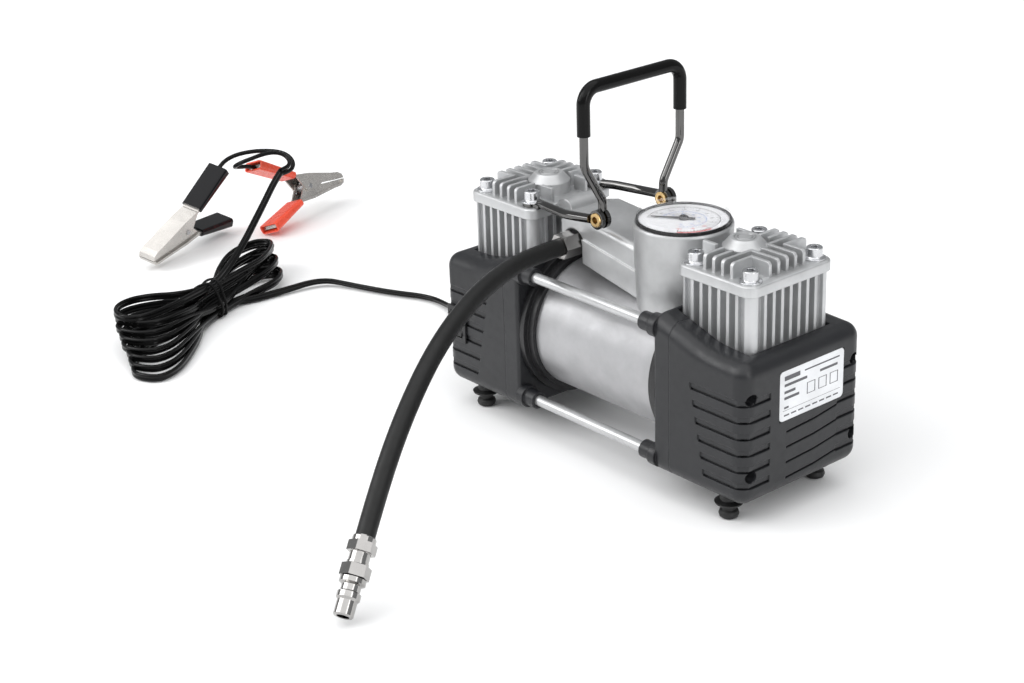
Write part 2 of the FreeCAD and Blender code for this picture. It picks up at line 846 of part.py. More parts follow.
def join_top():
    """The height of a cap's top at the parting line of its two shells."""
    knee_x, knee_z = knee()
    share = (dims.cap_join - dims.cap_inner_face) / (knee_x - dims.cap_inner_face)
    return dims.cap_high_top - (dims.cap_high_top - knee_z) * share


def long_edge(middle, edge):
    """An edge of a cap that runs along its sides, not around its flat ends."""
    return edge.BoundBox.XLength > 5


def stack_opening(body):
    """The opening in a cap's top that the cylinder stands in."""
    gap = 0.4
    low_x = dims.stack_offset - dims.block_length / 2 - gap
    high_x = dims.stack_offset + dims.block_length / 2 + gap
    half_y = dims.block_depth / 2 + gap
    sketch = new_sketch(body, "XY_Plane", dims.cap_high_top + 2)
    rectangle(sketch, (low_x, -half_y), (high_x, half_y))
    pocket(body, sketch, dims.cap_high_top - dims.block_bottom + 6)


def screw_circles(body, height, radius):
    sketch = new_sketch(body, "YZ_Plane", height)
    for y in (-dims.cover_screw_reach, dims.cover_screw_reach):
        for z in (dims.cover_screw_low, dims.cover_screw_high):
            circle(sketch, (y, z), radius)
    return sketch


def rod_circles(body, height, radius):
    sketch = new_sketch(body, "YZ_Plane", height)
    for y in (-dims.tie_rod_reach, dims.tie_rod_reach):
        for z in (dims.tie_rod_low, dims.tie_rod_high):
            circle(sketch, (y, z), radius)
    return sketch


def inner_housing(letter, side):
    """The shell of an end cap that faces the motor, with the sockets of the tie rods."""
    inner = dims.cap_inner_face
    join = dims.cap_join
    body = new_body(f"InnerHousing{letter}")
    section = new_sketch(body, "XZ_Plane")
    corners = [(inner, dims.cap_bottom), (join, dims.cap_bottom), (join, join_top()),
               (inner, dims.cap_high_top)]
    outline(section, corners)
    pad(body, section, dims.cap_depth, midplane=True)
    round_edges(body, dims.cap_rounding, long_edge)
    rim = number(inner)
    round_edges(body, 2, lambda middle, edge: abs(middle.x - rim) < 0.01)
    pad(body, rod_circles(body, inner - 3.5, 6.3), 5)
    pad(body, rod_circles(body, inner - 11, 5.0), 9)
    cavity = new_sketch(body, "YZ_Plane", join)
    outline(cavity, cavity_outline())
    pocket(body, cavity, join - inner - dims.cap_wall)
    shaft_hole = new_sketch(body, "YZ_Plane", join)
    circle(shaft_hole, (0, dims.motor_height), 12)
    pocket(body, shaft_hole, 20)
    stack_opening(body)
    pocket(body, rod_circles(body, inner + dims.cap_wall, dims.tie_rod_radius), 20)
    pocket(body, screw_circles(body, join, 1.5), 8)
    subpart(place(body, (0, 0, 0), facing(side)), f"inner_housing_{letter}")


def louvre(body, height, start, tall, deep):
    """One groove round both outer corners of a cover."""
    face = dims.body_length / 2
    flank = dims.cap_depth / 2
    bevel = dims.cap_rounding * 0.53
    sketch = new_sketch(body, "XY_Plane", height)
    for way in (-1, 1):
        band = [
            (start, flank + 2), (face + 2, flank + 2), (face + 2, flank - 19.5),
            (face - deep, flank - 19.5), (face - deep, flank - deep - bevel),
            (face - deep - bevel, flank - deep), (start, flank - deep),
        ]
        outline(sketch, [(x, y * way) for x, y in band])
    pocket(body, sketch, tall, midplane=True)


def louvres(body):
    """Six ramped grooves: a shallow band over a thin deep line."""
    for step in range(6):
        height = dims.louvre_low + dims.louvre_pitch * step
        start = dims.louvre_start - dims.louvre_lean * step
        louvre(body, height, start, 1.0, 1.6)
        louvre(body, height + 1.9, start - 0.6, 2.9, 0.6)


def face_grooves(body):
    """Four bowed grooves in the middle of a cover's end face."""
    tall = 1.1
    sketch = new_sketch(body, "YZ_Plane", dims.body_length / 2)
    for step in range(4):
        low = 22.0 + 8.6 * step
        bow = [(-13, low), (8, low + 1.0), (25, low + 3.2)]
        outline(sketch, bow + [(y, z + tall) for y, z in reversed(bow)])
    pocket(body, sketch, 1.5)


def outer_cover(letter, side):
    """The louvred outer shell of an end cap."""
    join = dims.cap_join
    face = dims.body_length / 2
    body = new_body(f"OuterCover{letter}")
    section = new_sketch(body, "XZ_Plane")
    corners = [(join, dims.cap_bottom), (face, dims.cap_bottom), (face, dims.cap_low_top),
               knee(), (join, join_top())]
    outline(section, corners)
    pad(body, section, dims.cap_depth, midplane=True)
    knee_x = knee()[0]
    round_edges(body, 60, lambda middle, edge: abs(middle.x - knee_x) < 0.01)
    rim = number(join)
    round_edges(body, dims.cap_rounding, lambda middle, edge: on_outside(middle, edge, rim))
    cavity = new_sketch(body, "YZ_Plane", face - dims.cap_wall)
    outline(cavity, cavity_outline())
    pocket(body, cavity, face - join)
    stack_opening(body)
    louvres(body)
    face_grooves(body)
    pocket(body, screw_circles(body, face, 3.3), 8)
    pocket(body, screw_circles(body, face, 1.7), face - join + 1)
    if side > 0:
        plate_recess(body)
    else:
        lead_hole = new_sketch(body, "YZ_Plane", face)
        circle(lead_hole, (-GLAND_Y, GLAND_Z), 4)
        pocket(body, lead_hole, 5)
        window = new_sketch(body, "XZ_Plane", -dims.cap_depth / 2)
        low, high = switch_window()
        rectangle(window, (-high[0], low[1]), (-low[0], high[1]))
        pocket(body, window, 5, reverse=True)
    subpart(place(body, (0, 0, 0), facing(side)), f"outer_cover_{letter}")


def on_outside(middle, edge, rim):
    """The edges of a cover that get the large rounding: all but those of its open side."""
    across = edge.BoundBox.YLength > 5 and middle.x < rim + 40
    return middle.x > rim + 0.5 and not across


def plate_recess(body):
    face = dims.body_length / 2
    sketch = new_sketch(body, "YZ_Plane", face)
    rectangle(sketch, *plate_corners())
    pocket(body, sketch, PLATE_SHEET)


def plate_corners():
    low = (-18.5, 55)
    return low, (low[0] + dims.plate_width, low[1] + dims.plate_height)


def rating_plate():
    """The blank rating plate, flush in its recess."""
    body = new_body("RatingPlate")
    sketch = new_sketch(body, "YZ_Plane", dims.body_length / 2 - PLATE_SHEET)
    rectangle(sketch, *plate_corners())
    pad(body, sketch, PLATE_SHEET)
    round_edges(body, 2.5, lambda middle, edge: edge.BoundBox.XLength > 0.1)
    subpart(body, "rating_plate")


def cover_screws():
    """Pan-head screws, deep in the holes of the covers."""
    seat = dims.body_length / 2 - 8
    tip = dims.cap_join - 6
    profile = [(0, tip), (1.5, tip), (1.5, seat), (2.9, seat), (2.9, seat + 1.6), (2, seat + 2.3),
               (0, seat + 2.3)]
    screws = []
    for letter, side in SIDES.items():
        for way in (-1, 1):
            for level, z in enumerate((dims.cover_screw_low, dims.cover_screw_high)):
                at = (0, dims.cover_screw_reach * way, z)
                screws.append(turned(f"CoverScrew{letter}{way + 1}{level}", profile, at, outward(side)))
    subpart(group("CoverScrews", *screws), "cover_screws")


def tie_rods():
    reach = dims.cap_inner_face + dims.cap_wall
    rods = []
    for way in (-1, 1):
        for level, z in enumerate((dims.tie_rod_low, dims.tie_rod_high)):
            at = (-reach, dims.tie_rod_reach * way, z)
            name = f"TieRod{way + 1}{level}"
            rods.append(cylinder(name, dims.tie_rod_radius, reach * 2, at, ALONG["x"]))
    subpart(group("TieRods", *rods), "tie_rods")


def rubber_feet():
    """Four push-in feet: a ball on a neck, below a wide thin flange."""
    top = dims.cap_bottom
    profile = [(0, 0), (3.6, 0), (4.9, 0.8), (5.4, 2.4), (4.9, 4.0), (3.7, 5.0), (3.7, 6.6), (7.3, 8.2),
               (7.7, 9.2), (4.7, 10.4), (4.3, top), (0, top)]
    feet = []
    for letter, side in SIDES.items():
        for way in (-1, 1):
            at = (dims.foot_reach_x * side, dims.foot_reach_y * way, 0)
            feet.append(turned(f"Foot{letter}{way + 1}", profile, at))
    subpart(group("Feet", *feet), "rubber_feet")


# ------------------------------------------------------------------ manifold and gauge

def manifold():
    """The cast air bridge from stack A over the motor, with the cup of the gauge at its end."""
    half = dims.manifold_half_depth
    body = new_body("Bridge")
    upper = new_sketch(body, "XZ_Plane")
    outline(upper, [(-44, 104), (-44, 127), (-36, 129), (-18, 127.5), (16, 122), (16, 95), (-26, 103)])
    pad(body, upper, half * 2, midplane=True)
    top_edges = lambda middle, edge: middle.z > 120 and abs(abs(middle.y) - number(half)) < 0.01
    round_edges(body, 3.6, top_edges)
    skirt = new_sketch(body, "XZ_Plane")
    outline(skirt, [(-44, 104), (-44, 116.5), (-26, 116.5), (16, 109.2), (16, 94.5), (-26, 103)])
    pad(body, skirt, half * 2 + 2.4, midplane=True)
    notch = new_sketch(body, "XZ_Plane", half + 3)
    rectangle(notch, (-42.3, 100), (-26.3, 113))
    pocket(body, notch, 15)
    arch = new_sketch(body, "XZ_Plane", half + 3)
    circle(arch, (-34.3, 112.8), 8)
    pocket(body, arch, 15)
    barrel = cylinder("Barrel", 6.4, 24, (-49, -12, 125.8), ALONG["y"])
    blank = fuse("ManifoldBlank", body, barrel, gauge_cup())
    pocket_radius = dims.gauge_radius + 0.1
    ledge = dims.dial_height - 9
    at = (dims.gauge_offset, 0, ledge)
    tools = [
        cylinder("GaugeSeat", pocket_radius, 20, at),
        cylinder("MotorSaddle", dims.can_radius + 0.1, 120, (-60, 0, dims.motor_height), ALONG["x"]),
        cylinder("ShieldRelief", dims.shield_flange_radius + 0.1, 15,
                 (dims.can_half_length - 4.6, 0, dims.motor_height), ALONG["x"]),
        box("BlockRelief", (56.9, -30, dims.block_bottom), (65, 30, dims.block_top + 0.1)),
        box("HousingRelief", (dims.cap_inner_face - 0.1, -30, 80), (65, 30, dims.cap_high_top + 0.2)),
    ]
    subpart(cut("Manifold", blank, *tools), "manifold")


def gauge_cup():
    """The tapered cup, hollow under the ledge that the gauge sits on."""
    low = 86
    floor = 101
    wall = 2.6
    profile = [
        (0, low), (dims.cup_bottom_radius, low), (dims.cup_top_radius, dims.cup_top - 1.2),
        (dims.cup_top_radius - 0.5, dims.cup_top), (dims.cup_bottom_radius - wall, dims.cup_top),
        (dims.cup_bottom_radius - wall, floor), (0, floor),
    ]
    return turned("GaugeCup", profile, (dims.gauge_offset, 0, 0))


def at_gauge():
    return (dims.gauge_offset, 0, 0)


def gauge_case():
    """The black case: a dish with a post for the spindle."""
    low = dims.dial_height - 9
    rim = dims.cup_top + 1.6
    wall = 1.2
    radius = dims.gauge_radius
    profile = [
        (1.05, low), (radius, low), (radius, rim), (radius - wall, rim), (radius - wall, low + 2),
        (3, low + 2), (3, dims.dial_height - 0.8), (1.05, dims.dial_height - 0.8),
    ]
    subpart(turned("GaugeCase", profile, at_gauge()), "gauge_case")


def gauge_dial():
    high = dims.dial_height
    outer = dims.gauge_radius - 1.3
    subpart(ring("Dial", 1.05, outer, high - 0.8, high, at_gauge()), "gauge_dial")


def gauge_needle():
    """The pointer with its hub and spindle, at the zero of the scale."""
    body = turned("Needle", [
        (0, dims.dial_height - 6), (1.0, dims.dial_height - 6), (1.0, dims.dial_height + 0.4),
        (2.6, dims.dial_height + 0.4), (2.6, dims.dial_height + 1.4), (1.6, dims.dial_height + 2.2),
        (0, dims.dial_height + 2.2),
    ], at_gauge(), Rotation(Vector(0, 0, 1), NEEDLE_REST))
    doc.recompute()
    blade = new_sketch(body, "XY_Plane", dims.dial_height + 0.6)
    outline(blade, [(-6, -1.1), (0, -1.1), (17.5, -0.25), (17.5, 0.25), (0, 1.1), (-6, 1.1)])
    pad(body, blade, 0.5)
    subpart(body, "gauge_needle")


def gauge_lens():
    """The clear stepped cap over the dial."""
    rim = dims.cup_top + 1.6
    radius = dims.lens_radius
    profile = [
        (0, rim + 1.6), (radius - 2, rim + 1.6), (radius - 2, rim), (radius + 0.6, rim),
        (radius + 0.6, rim + 1.7), (radius, rim + 2.1), (radius, rim + 3.0), (radius - 0.6, rim + 3.5),
        (0, rim + 3.5),
    ]
    subpart(turned("Lens", profile, at_gauge()), "gauge_lens")


# ------------------------------------------------------------------ hose

def hose_nut():
    """The hexagonal crimp nut that holds the hose in the manifold."""
    x, y, z = HOSE_ROUTE[0]
    seat = -dims.manifold_half_depth + 12
    body = new_body("HoseNut")
    section = new_sketch(body, "XZ_Plane", -y - 13)
    hexagon(section, (0, 0), 12.6)
    pad(body, section, 13)
    stem = new_sketch(body, "XZ_Plane", -seat)
    circle(stem, (0, 0), 4.6)
    pad(body, stem, 12)
    bore = new_sketch(body, "XZ_Plane", -y)
    circle(bore, (0, 0), 2.6)
    pocket(body, bore, 12)
    subpart(place(body, (x, 0, z)), "hose_nut")


def hose_end():
    start = Vector(*HOSE_ROUTE[-1])
    return start, Rotation(Vector(0, 0, 1), HOSE_END_DIRECTION)


def hose_ferrule():
    """The crimp ferrule on the free end of the hose, with its hexagon."""
    start, rotation = hose_end()
    body = turned("Ferrule", [(2.5, 0), (5.7, 0), (6.0, 0.6), (6.0, 7.5), (5.2, 8.2), (5.2, 13), (2.5, 13)],
                  tuple(start), rotation)
    doc.recompute()
    hex_ring = new_sketch(body, "XY_Plane", 3)
    hexagon(hex_ring, (0, 0), 12.6)
    circle(hex_ring, (0, 0), 4)
    pad(body, hex_ring, 5)
    subpart(body, "hose_ferrule")


def quick_plug():
    """The quick-connect plug: a hexagon, two grooves and a hollow nose."""
    start, rotation = hose_end()
    at = start + HOSE_END_DIRECTION * 13
    profile = [
        (3.2, 0), (5.6, 0), (5.6, 1.2), (5.2, 1.6), (5.2, 7.6), (6.6, 8.2), (6.6, 10.6), (4.9, 11.6),
        (4.9, 14.6), (5.9, 15.4), (5.9, 18.2), (5.0, 19.4), (5.0, 26.4), (4.6, 27), (3.2, 27),
    ]
    body = turned("QuickPlug", profile, tuple(at), rotation)
    doc.recompute()
    hex_ring = new_sketch(body, "XY_Plane", 1.6)
    hexagon(hex_ring, (0, 0), 13)
    circle(hex_ring, (0, 0), 4.4)
    pad(body, hex_ring, 6)
    subpart(body, "quick_plug")


# ------------------------------------------------------------------ handle

def eye(name, way, middle, radius, hole):
    """A flattened eye with its hole along Y, at the handle's pivot."""
    at = (-dims.pivot_offset, middle * way - EYE_THICK / 2, dims.pivot_height)
    disc = cylinder(f"{name}Disc", radius, EYE_THICK, at, ALONG["y"])
    return disc, cylinder(f"{name}Hole", hole, EYE_THICK, at, ALONG["y"])


def bail_points():
    """The centre line of the bail, from one eye over the top bar to the other."""
    x = -number(dims.pivot_offset)
    pivot = number(dims.pivot_height)
    wide = number(dims.bail_half_width)
    top = number(dims.bail_top)
    leg = [(x, -BAIL_EYE_Y, pivot + 4.3), (x, -BAIL_EYE_Y, pivot + 10), (x, -wide, pivot + 31),
           (x, -wide, top)]
    return leg + [(px, -py, pz) for px, py, pz in reversed(leg)]


def handle_bail():
    radius = number(dims.bail_rod_radius)
    shape, _ = swept(bail_points(), [8, 9, 9, 9, 9, 8], radius)
    rod = doc.addObject("Part::Feature", "BailRod")
    rod.Shape = shape
    hole = dims.rivet_radius + dims.running_clearance
    discs, holes = zip(*[eye(f"BailEye{way + 1}", way, BAIL_EYE_Y, 5.4, hole) for way in (-1, 1)])
    subpart(cut("Bail", fuse("BailBlank", rod, *discs), *holes), "handle_bail")


def handle_grip():
    """The black sleeve over the top bar and the upper legs of the bail."""
    x, wide, top = -number(dims.pivot_offset), number(dims.bail_half_width), number(dims.bail_top)
    low = top - 25
    route = [(x, -wide, low), (x, -wide, top), (x, wide, top), (x, wide, low)]
    outer = bent_rod("GripOuter", route, 9, number(dims.grip_radius))
    inner = bent_rod("GripInner", route, 9, number(dims.bail_rod_radius))
    subpart(cut("Grip", outer, inner), "handle_grip")


def handle_arms():
    """The two arms that carry the bail, each clamped by an inner head screw of stack A."""
    screw_x = -(dims.stack_offset - dims.head_screw_x)
    plate_top = dims.block_top + dims.plate_thick
    arms = []
    for way in (-1, 1):
        at = (screw_x, dims.head_screw_y * way, plate_top)
        washer = cylinder(f"ArmWasher{way + 1}", 5.2, ARM_EYE_THICK, at)
        bore = cylinder(f"ArmBore{way + 1}", dims.head_screw_radius + 0.1, ARM_EYE_THICK, at)
        route = [
            (number(screw_x) + 6.6, number(at[1]), 130.9), (-48.0, 25.4 * way, 131.6),
            (-30.0, 28.2 * way, 132.2), (-11.3, (ARM_EYE_Y + 1.2) * way, 134.3),
        ]
        rod = bent_rod(f"ArmRod{way + 1}", route, 40, number(dims.arm_rod_radius))
        tab = box(f"ArmTab{way + 1}", (screw_x, at[1] - 3, plate_top),
                  (screw_x + 8.5, at[1] + 3, plate_top + ARM_EYE_THICK))
        disc, hole = eye(f"ArmEye{way + 1}", way, ARM_EYE_Y, 5.2, dims.rivet_radius)
        above = box(f"ArmTrim{way + 1}", (-70, 20 * way - 10, plate_top - 6), (-50, 20 * way + 10, plate_top))
        blank = fuse(f"ArmBlank{way + 1}", washer, tab, rod, disc)
        arms.append(cut(f"Arm{way + 1}", blank, bore, hole, above))
    subpart(group("Arms", *arms), "handle_arms")


def handle_rivets():
    """Tubular brass rivets through the arms and the eyes of the bail."""
    inner_end = BAIL_EYE_Y - EYE_THICK / 2 - 0.1
    outer_end = ARM_EYE_Y + EYE_THICK / 2
    shank = dims.rivet_radius
    profile = [(2.0, inner_end - 0.9), (4.0, inner_end - 0.9), (4.0, inner_end), (shank, inner_end),
               (shank, outer_end), (4.0, outer_end), (3.6, outer_end + 0.9), (2.0, outer_end + 0.9)]
    rivets = []
    for way in (-1, 1):
        at = (-dims.pivot_offset, 0, dims.pivot_height)
        rivets.append(turned(f"Rivet{way + 1}", profile, at, Rotation(Vector(1, 0, 0), -90 * way)))
    subpart(group("Rivets", *rivets), "handle_rivets")


# ------------------------------------------------------------------ switch and gland

def switch_window():
    """The opening for the switch in the front of stack A's cover: low and high (x, z)."""
    return (-112.5, 42.5), (-100.0, 60.5)


def switch_parts():
    """The bezel, with its body behind it, and the rocker that tips in it."""
    low, high = switch_window()
    front = -dims.cap_depth / 2
    bezel = box("BezelFlange", (low[0] - 1.2, front - 1.2, low[1] - 1.4),
                (high[0] + 1.2, front, high[1] + 1.4))
    barrel = box("BezelBody", (low[0] + 0.1, front, low[1] + 0.1), (high[0] - 0.1, front + 9, high[1] - 0.1))
    well = box("BezelWell", (low[0] + 1.4, front - 2, low[1] + 1.2),
               (high[0] - 1.4, front + 7, high[1] - 1.2))
    middle_x = (low[0] + high[0]) / 2
    middle_z = (low[1] + high[1]) / 2
    pivot_y = front + ROCKER_PIVOT_DEPTH
    socket = cylinder("RockerSocket", dims.rocker_pin_radius + dims.running_clearance, 11.4,
                      (middle_x - 5.7, pivot_y, middle_z), ALONG["x"])
    subpart(cut("Bezel", fuse("BezelBlank", bezel, barrel), well, socket), "switch_bezel")
    rocker = new_body("Rocker")
    side_view = new_sketch(rocker, "YZ_Plane")
    outline(side_view, [(-2.4, -6.6), (-0.9, 0), (-4.2, 6.6), (2.2, 7.0), (5.4, 2), (5.4, -2), (2.2, -7.0)])
    pad(rocker, side_view, high[0] - low[0] - 3.2, midplane=True)
    place(rocker, (middle_x, front + 0.4, middle_z))
    trunnion = cylinder("RockerTrunnion", dims.rocker_pin_radius, 11,
                        (middle_x - 5.5, pivot_y, middle_z), ALONG["x"])
    subpart(fuse("RockerOnPins", rocker, trunnion), "switch_rocker")


def lead_gland():
    """The tapered strain relief where the power lead leaves stack A."""
    profile = [(2.5, -6), (5.4, -6), (5.4, -3.05), (3.95, -3.05), (3.95, 0.0), (6.2, 0.0), (6.2, 2.0),
               (4.9, 2.8), (3.7, 22), (2.5, 22)]
    at = (-dims.body_length / 2, GLAND_Y, GLAND_Z)
    subpart(turned("Gland", profile, at, outward(-1)), "lead_gland")


# ------------------------------------------------------------------ hank and clamps

def lead_hank():
    """The tied hank of the power lead, as one block. Its turns fan out on both sides of the tie."""
    body = new_body("Hank")
    sketch = new_sketch(body, "XY_Plane")
    outline(sketch, [
        (14, -12), (30, -12), (36, 2), (34, 30), (26, 62), (15, 90), (19, 116), (30, 140), (27, 158),
        (10, 178), (-3, 191), (-16, 191), (-25, 178), (-24, 158), (-15, 122), (-14, 92), (-22, 68),
        (-34, 56), (-36, 40), (-29, 24), (-14, 12), (2, -2),
    ])
    pad(body, sketch, dims.hank_height)
    height = number(dims.hank_height)
    round_edges(body, 4, lambda middle, edge: abs(middle.z - height) < 0.01)
    subpart(place(body, (*HANK_START, 0), HANK_TURN), "lead_hank")


HANK_START = (-288.3, -159.0)
HANK_TURN = Rotation(Vector(0, 0, 1), 26)

# A clamp is drawn with its pivot at the origin, its jaws towards +X and its handles towards -X,
# one above and one below. Both lie on the floor, leaning as their leads hold them.
CLAMP_FRAMES = {
    "red": ((-445.3, 86.0, 21.3), Rotation(104.8, 7.5, -20.0)),
    "black": ((-438.6, -24.0, 18.8), Rotation(-73.0, 14.5, -12.0)),
}


def clamp_lever(name, way, cheek):
    """One pressed lever: the strip of handle and jaw, with side walls that also carry the pin."""
    wide = dims.clamp_half_width
    body = new_body(name)
    strip = new_sketch(body, "XZ_Plane")
    profile = [(-45, 23.2), (-12, 10.2), (2, 9.4), (14, 7.6), (26, 5.8), (33, 5.2), (37.2, 3.4),
               (38.4, 0.3), (36.8, 0.3), (36.0, 2.4), (32.4, 3.4), (26, 4.0), (14, 5.8), (2, 7.4),
               (-12, 8.2), (-45, 21.0)]
    outline(strip, [(x, z * way) for x, z in profile])
    pad(body, strip, wide * 2, midplane=True)
    wall = [(-13, 9.6), (-3.6, -3.4), (3.6, -3.4), (14, 0.5), (37, 0.5), (36.4, 2.8), (32.6, 4.2),
            (26, 4.8), (14, 6.6), (2, 8.4)]
    for start in (cheek, -cheek - 1.1):
        plate = new_sketch(body, "XZ_Plane", start)
        outline(plate, [(x, z * way) for x, z in wall])
        pad(body, plate, 1.1)
    return body


def clamp_sleeve(name, way):
    """The vinyl sleeve of a handle, hollow at its mouth and cut to the lever inside."""
    slope = math.atan2(13.0, 33.0)
    along = (-math.cos(slope), math.sin(slope))
    across = (math.sin(slope), math.cos(slope))

    def corner(distance, offset):
        x = -14 + along[0] * distance + across[0] * offset
        z = 10 + along[1] * distance + across[1] * offset
        return (x, z * way)

    body = new_body(name)
    outer = new_sketch(body, "XZ_Plane")
    outline(outer, [corner(0, -2.4), corner(35.5, -3.6), corner(35.5, 3.4), corner(0, 2.6)])
    pad(body, outer, dims.clamp_half_width * 2 + 3.2, midplane=True)
    along_sleeve = lambda middle, edge: edge.Length > 30
    round_edges(body, 2.2, along_sleeve)
    mouth = new_sketch(body, "XZ_Plane")
    outline(mouth, [corner(24, -1.4), corner(36, -2.6), corner(36, 2.4), corner(24, 1.4)])
    pocket(body, mouth, dims.clamp_half_width * 2 + 1.2, midplane=True)
    return body


def clamp_spring(name):
    """The torsion spring round the pin, with its two short legs."""
    coil = ring(f"{name}Coil", dims.clamp_pin_radius, 3.9, -3.6, 3.6, (0, 0, 0), ALONG["y"])
    legs = [
        box(f"{name}LegHigh", (-7, -3.6, 2.6), (0, -2.4, 3.8)),
        box(f"{name}LegLow", (-7, 2.4, -3.8), (0, 3.6, -2.6)),
    ]
    hole = cylinder(f"{name}Hole", dims.clamp_pin_radius, 10, (0, -5, 0), ALONG["y"])
    return cut(name, fuse(f"{name}Blank", coil, *legs), hole)


def clamp(colour, at, rotation):
    """One battery clamp: the upper lever is crimped to the lead, and the lower one opens."""
    title = colour.capitalize()
    half_pin = dims.clamp_half_width + 0.5
    fixed_hole = cylinder(f"FixedHole{title}", dims.clamp_pin_radius, 20, (0, -10, 0), ALONG["y"])
    loose = dims.clamp_pin_radius + dims.running_clearance
    moving_hole = cylinder(f"MovingHole{title}", loose, 20, (0, -10, 0), ALONG["y"])
    fixed = cut(f"Fixed{title}", clamp_lever(f"FixedLever{title}", 1, 5.3), fixed_hole)
    moving = cut(f"Moving{title}", clamp_lever(f"MovingLever{title}", -1, 4.0), moving_hole)
    pin_radius = dims.clamp_pin_radius
    profile = [(0, -half_pin), (pin_radius, -half_pin), (pin_radius, half_pin), (0, half_pin)]
    pin = turned(f"ClampPin{title}", profile, at, rotation.multiply(ALONG["y"]))
    spring = clamp_spring(f"Spring{title}")
    sleeves = {"fixed": clamp_sleeve(f"SleeveFixed{title}", 1),
               "moving": clamp_sleeve(f"SleeveMoving{title}", -1)}
    for item in (fixed, moving, spring, *sleeves.values()):
        place(item, at, rotation)
    subpart(moving, f"clamp_lever_{colour}")
    for kind, lever in (("fixed", fixed), ("moving", moving)):
        sleeve = cut(f"Sleeve{title}{kind.capitalize()}", sleeves[kind], lever)
        subpart(sleeve, f"clamp_sleeve_{colour}_{kind}")
    return fixed, pin, spring


def clamps():
    """Both battery clamps: a lever fixed to the lead, a moving lever, sleeves, pins and springs."""
    levers, pins, springs = zip(*[clamp(colour, *frame) for colour, frame in CLAMP_FRAMES.items()])
    subpart(group("FixedLevers", *levers), "clamp_levers_fixed")
    subpart(group("ClampPins", *pins), "clamp_pins")
    subpart(group("ClampSprings", *springs), "clamp_springs")


# ------------------------------------------------------------------ the whole compressor

def build():
    motor_can()
    field_magnets()
    motor_shaft()
    armature_core()
    armature_windings()
    commutator()
    carbon_brushes()
    shaft_bearings()
    crank_discs()
    for letter, side in SIDES.items():
        end_shield(letter, side)
        crank_pin(letter, side)
        piston(letter, side)
        piston_seal(letter, side)
        cylinder_block(letter, side)
        cylinder_head(letter, side)
        inner_housing(letter, side)
        outer_cover(letter, side)
    head_screws()
    cover_screws()
    tie_rods()
    rubber_feet()
    rating_plate()
    manifold()
    gauge_case()
    gauge_dial()
    gauge_needle()
    gauge_lens()
    hose_nut()
    cord("air_hose", HOSE_ROUTE, dims.hose_radius)
    hose_ferrule()
    quick_plug()
    handle_bail()
    handle_grip()
    handle_arms()
    handle_rivets()
    switch_parts()
    lead_gland()
    cord("power_lead", POWER_ROUTE, dims.cord_radius)
    lead_hank()
    cord("lead_tail", TAIL_ROUTE, dims.cord_radius)
    cord("lead_red", RED_ROUTE, dims.core_lead_radius)
    cord("lead_black", BLACK_ROUTE, dims.core_lead_radius)
    clamps()


def check_and_write():
    """Every object must be sound before any file is written."""
    doc.recompute()
    for item in doc.Objects:
        if {"Invalid", "Error"} & set(item.State):
            raise RuntimeError(f"{item.Name} ({item.Label}) is in state {item.State}")
    for item in subparts:
        if item.Shape.isNull() or not item.Shape.isValid():
            raise RuntimeError(f"{item.Label} has no valid shape")
    os.makedirs("parts", exist_ok=True)
    for item in subparts:
        item.Shape.exportStep(f"parts/{item.Label}.step")
    print(len(subparts), "sub-parts written")


build()
check_and_write()
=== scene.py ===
"""Looks of the twin stack compressor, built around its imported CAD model. Metres, in the CAD frame."""

import json
import math
import random

import bpy
from mathutils import Matrix, Vector


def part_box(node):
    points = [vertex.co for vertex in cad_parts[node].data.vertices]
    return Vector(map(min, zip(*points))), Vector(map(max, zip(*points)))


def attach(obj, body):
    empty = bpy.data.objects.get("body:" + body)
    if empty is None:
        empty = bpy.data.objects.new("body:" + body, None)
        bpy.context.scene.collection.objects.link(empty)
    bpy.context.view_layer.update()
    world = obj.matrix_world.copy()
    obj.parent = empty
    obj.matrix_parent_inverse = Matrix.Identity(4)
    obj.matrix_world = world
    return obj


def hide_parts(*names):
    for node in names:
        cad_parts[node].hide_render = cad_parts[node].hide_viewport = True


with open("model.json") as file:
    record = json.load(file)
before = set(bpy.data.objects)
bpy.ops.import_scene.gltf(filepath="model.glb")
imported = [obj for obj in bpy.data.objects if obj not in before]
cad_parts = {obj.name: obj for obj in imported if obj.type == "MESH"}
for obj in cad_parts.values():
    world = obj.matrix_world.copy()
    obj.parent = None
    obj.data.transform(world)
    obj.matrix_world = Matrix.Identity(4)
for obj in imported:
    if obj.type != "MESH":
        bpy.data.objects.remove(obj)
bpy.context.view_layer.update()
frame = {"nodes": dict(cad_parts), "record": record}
nodes = frame["nodes"]
record = frame["record"]
scene = bpy.context.scene


# ------------------------------------------------------------------ camera, light and floor

TARGET = Vector((-0.03449, -0.06487, 0.06783))
AZIMUTH, ELEVATION, ROLL = (math.radians(angle) for angle in (50.05, 22.92, -1.88))
DISTANCE = 1.12466
FOCAL_PIXELS = 2084.73
PICTURE_WIDTH = 1024


def make_camera():
    back = Vector((math.sin(AZIMUTH) * math.cos(ELEVATION), -math.cos(AZIMUTH) * math.cos(ELEVATION),
                   math.sin(ELEVATION)))
    level = (-back).cross(Vector((0, 0, 1))).normalized()
    upright = level.cross(-back)
    right = level * math.cos(ROLL) + upright * math.sin(ROLL)
    up = upright * math.cos(ROLL) - level * math.sin(ROLL)
    data = bpy.data.cameras.new("camera")
    data.sensor_width = 36
    data.lens = data.sensor_width * FOCAL_PIXELS / PICTURE_WIDTH
    data.clip_end = 20
    camera = bpy.data.objects.new("camera", data)
    scene.collection.objects.link(camera)
    rotation = Matrix((right, up, back)).transposed().to_4x4()
    camera.matrix_world = Matrix.Translation(TARGET + back * DISTANCE) @ rotation
    scene.camera = camera


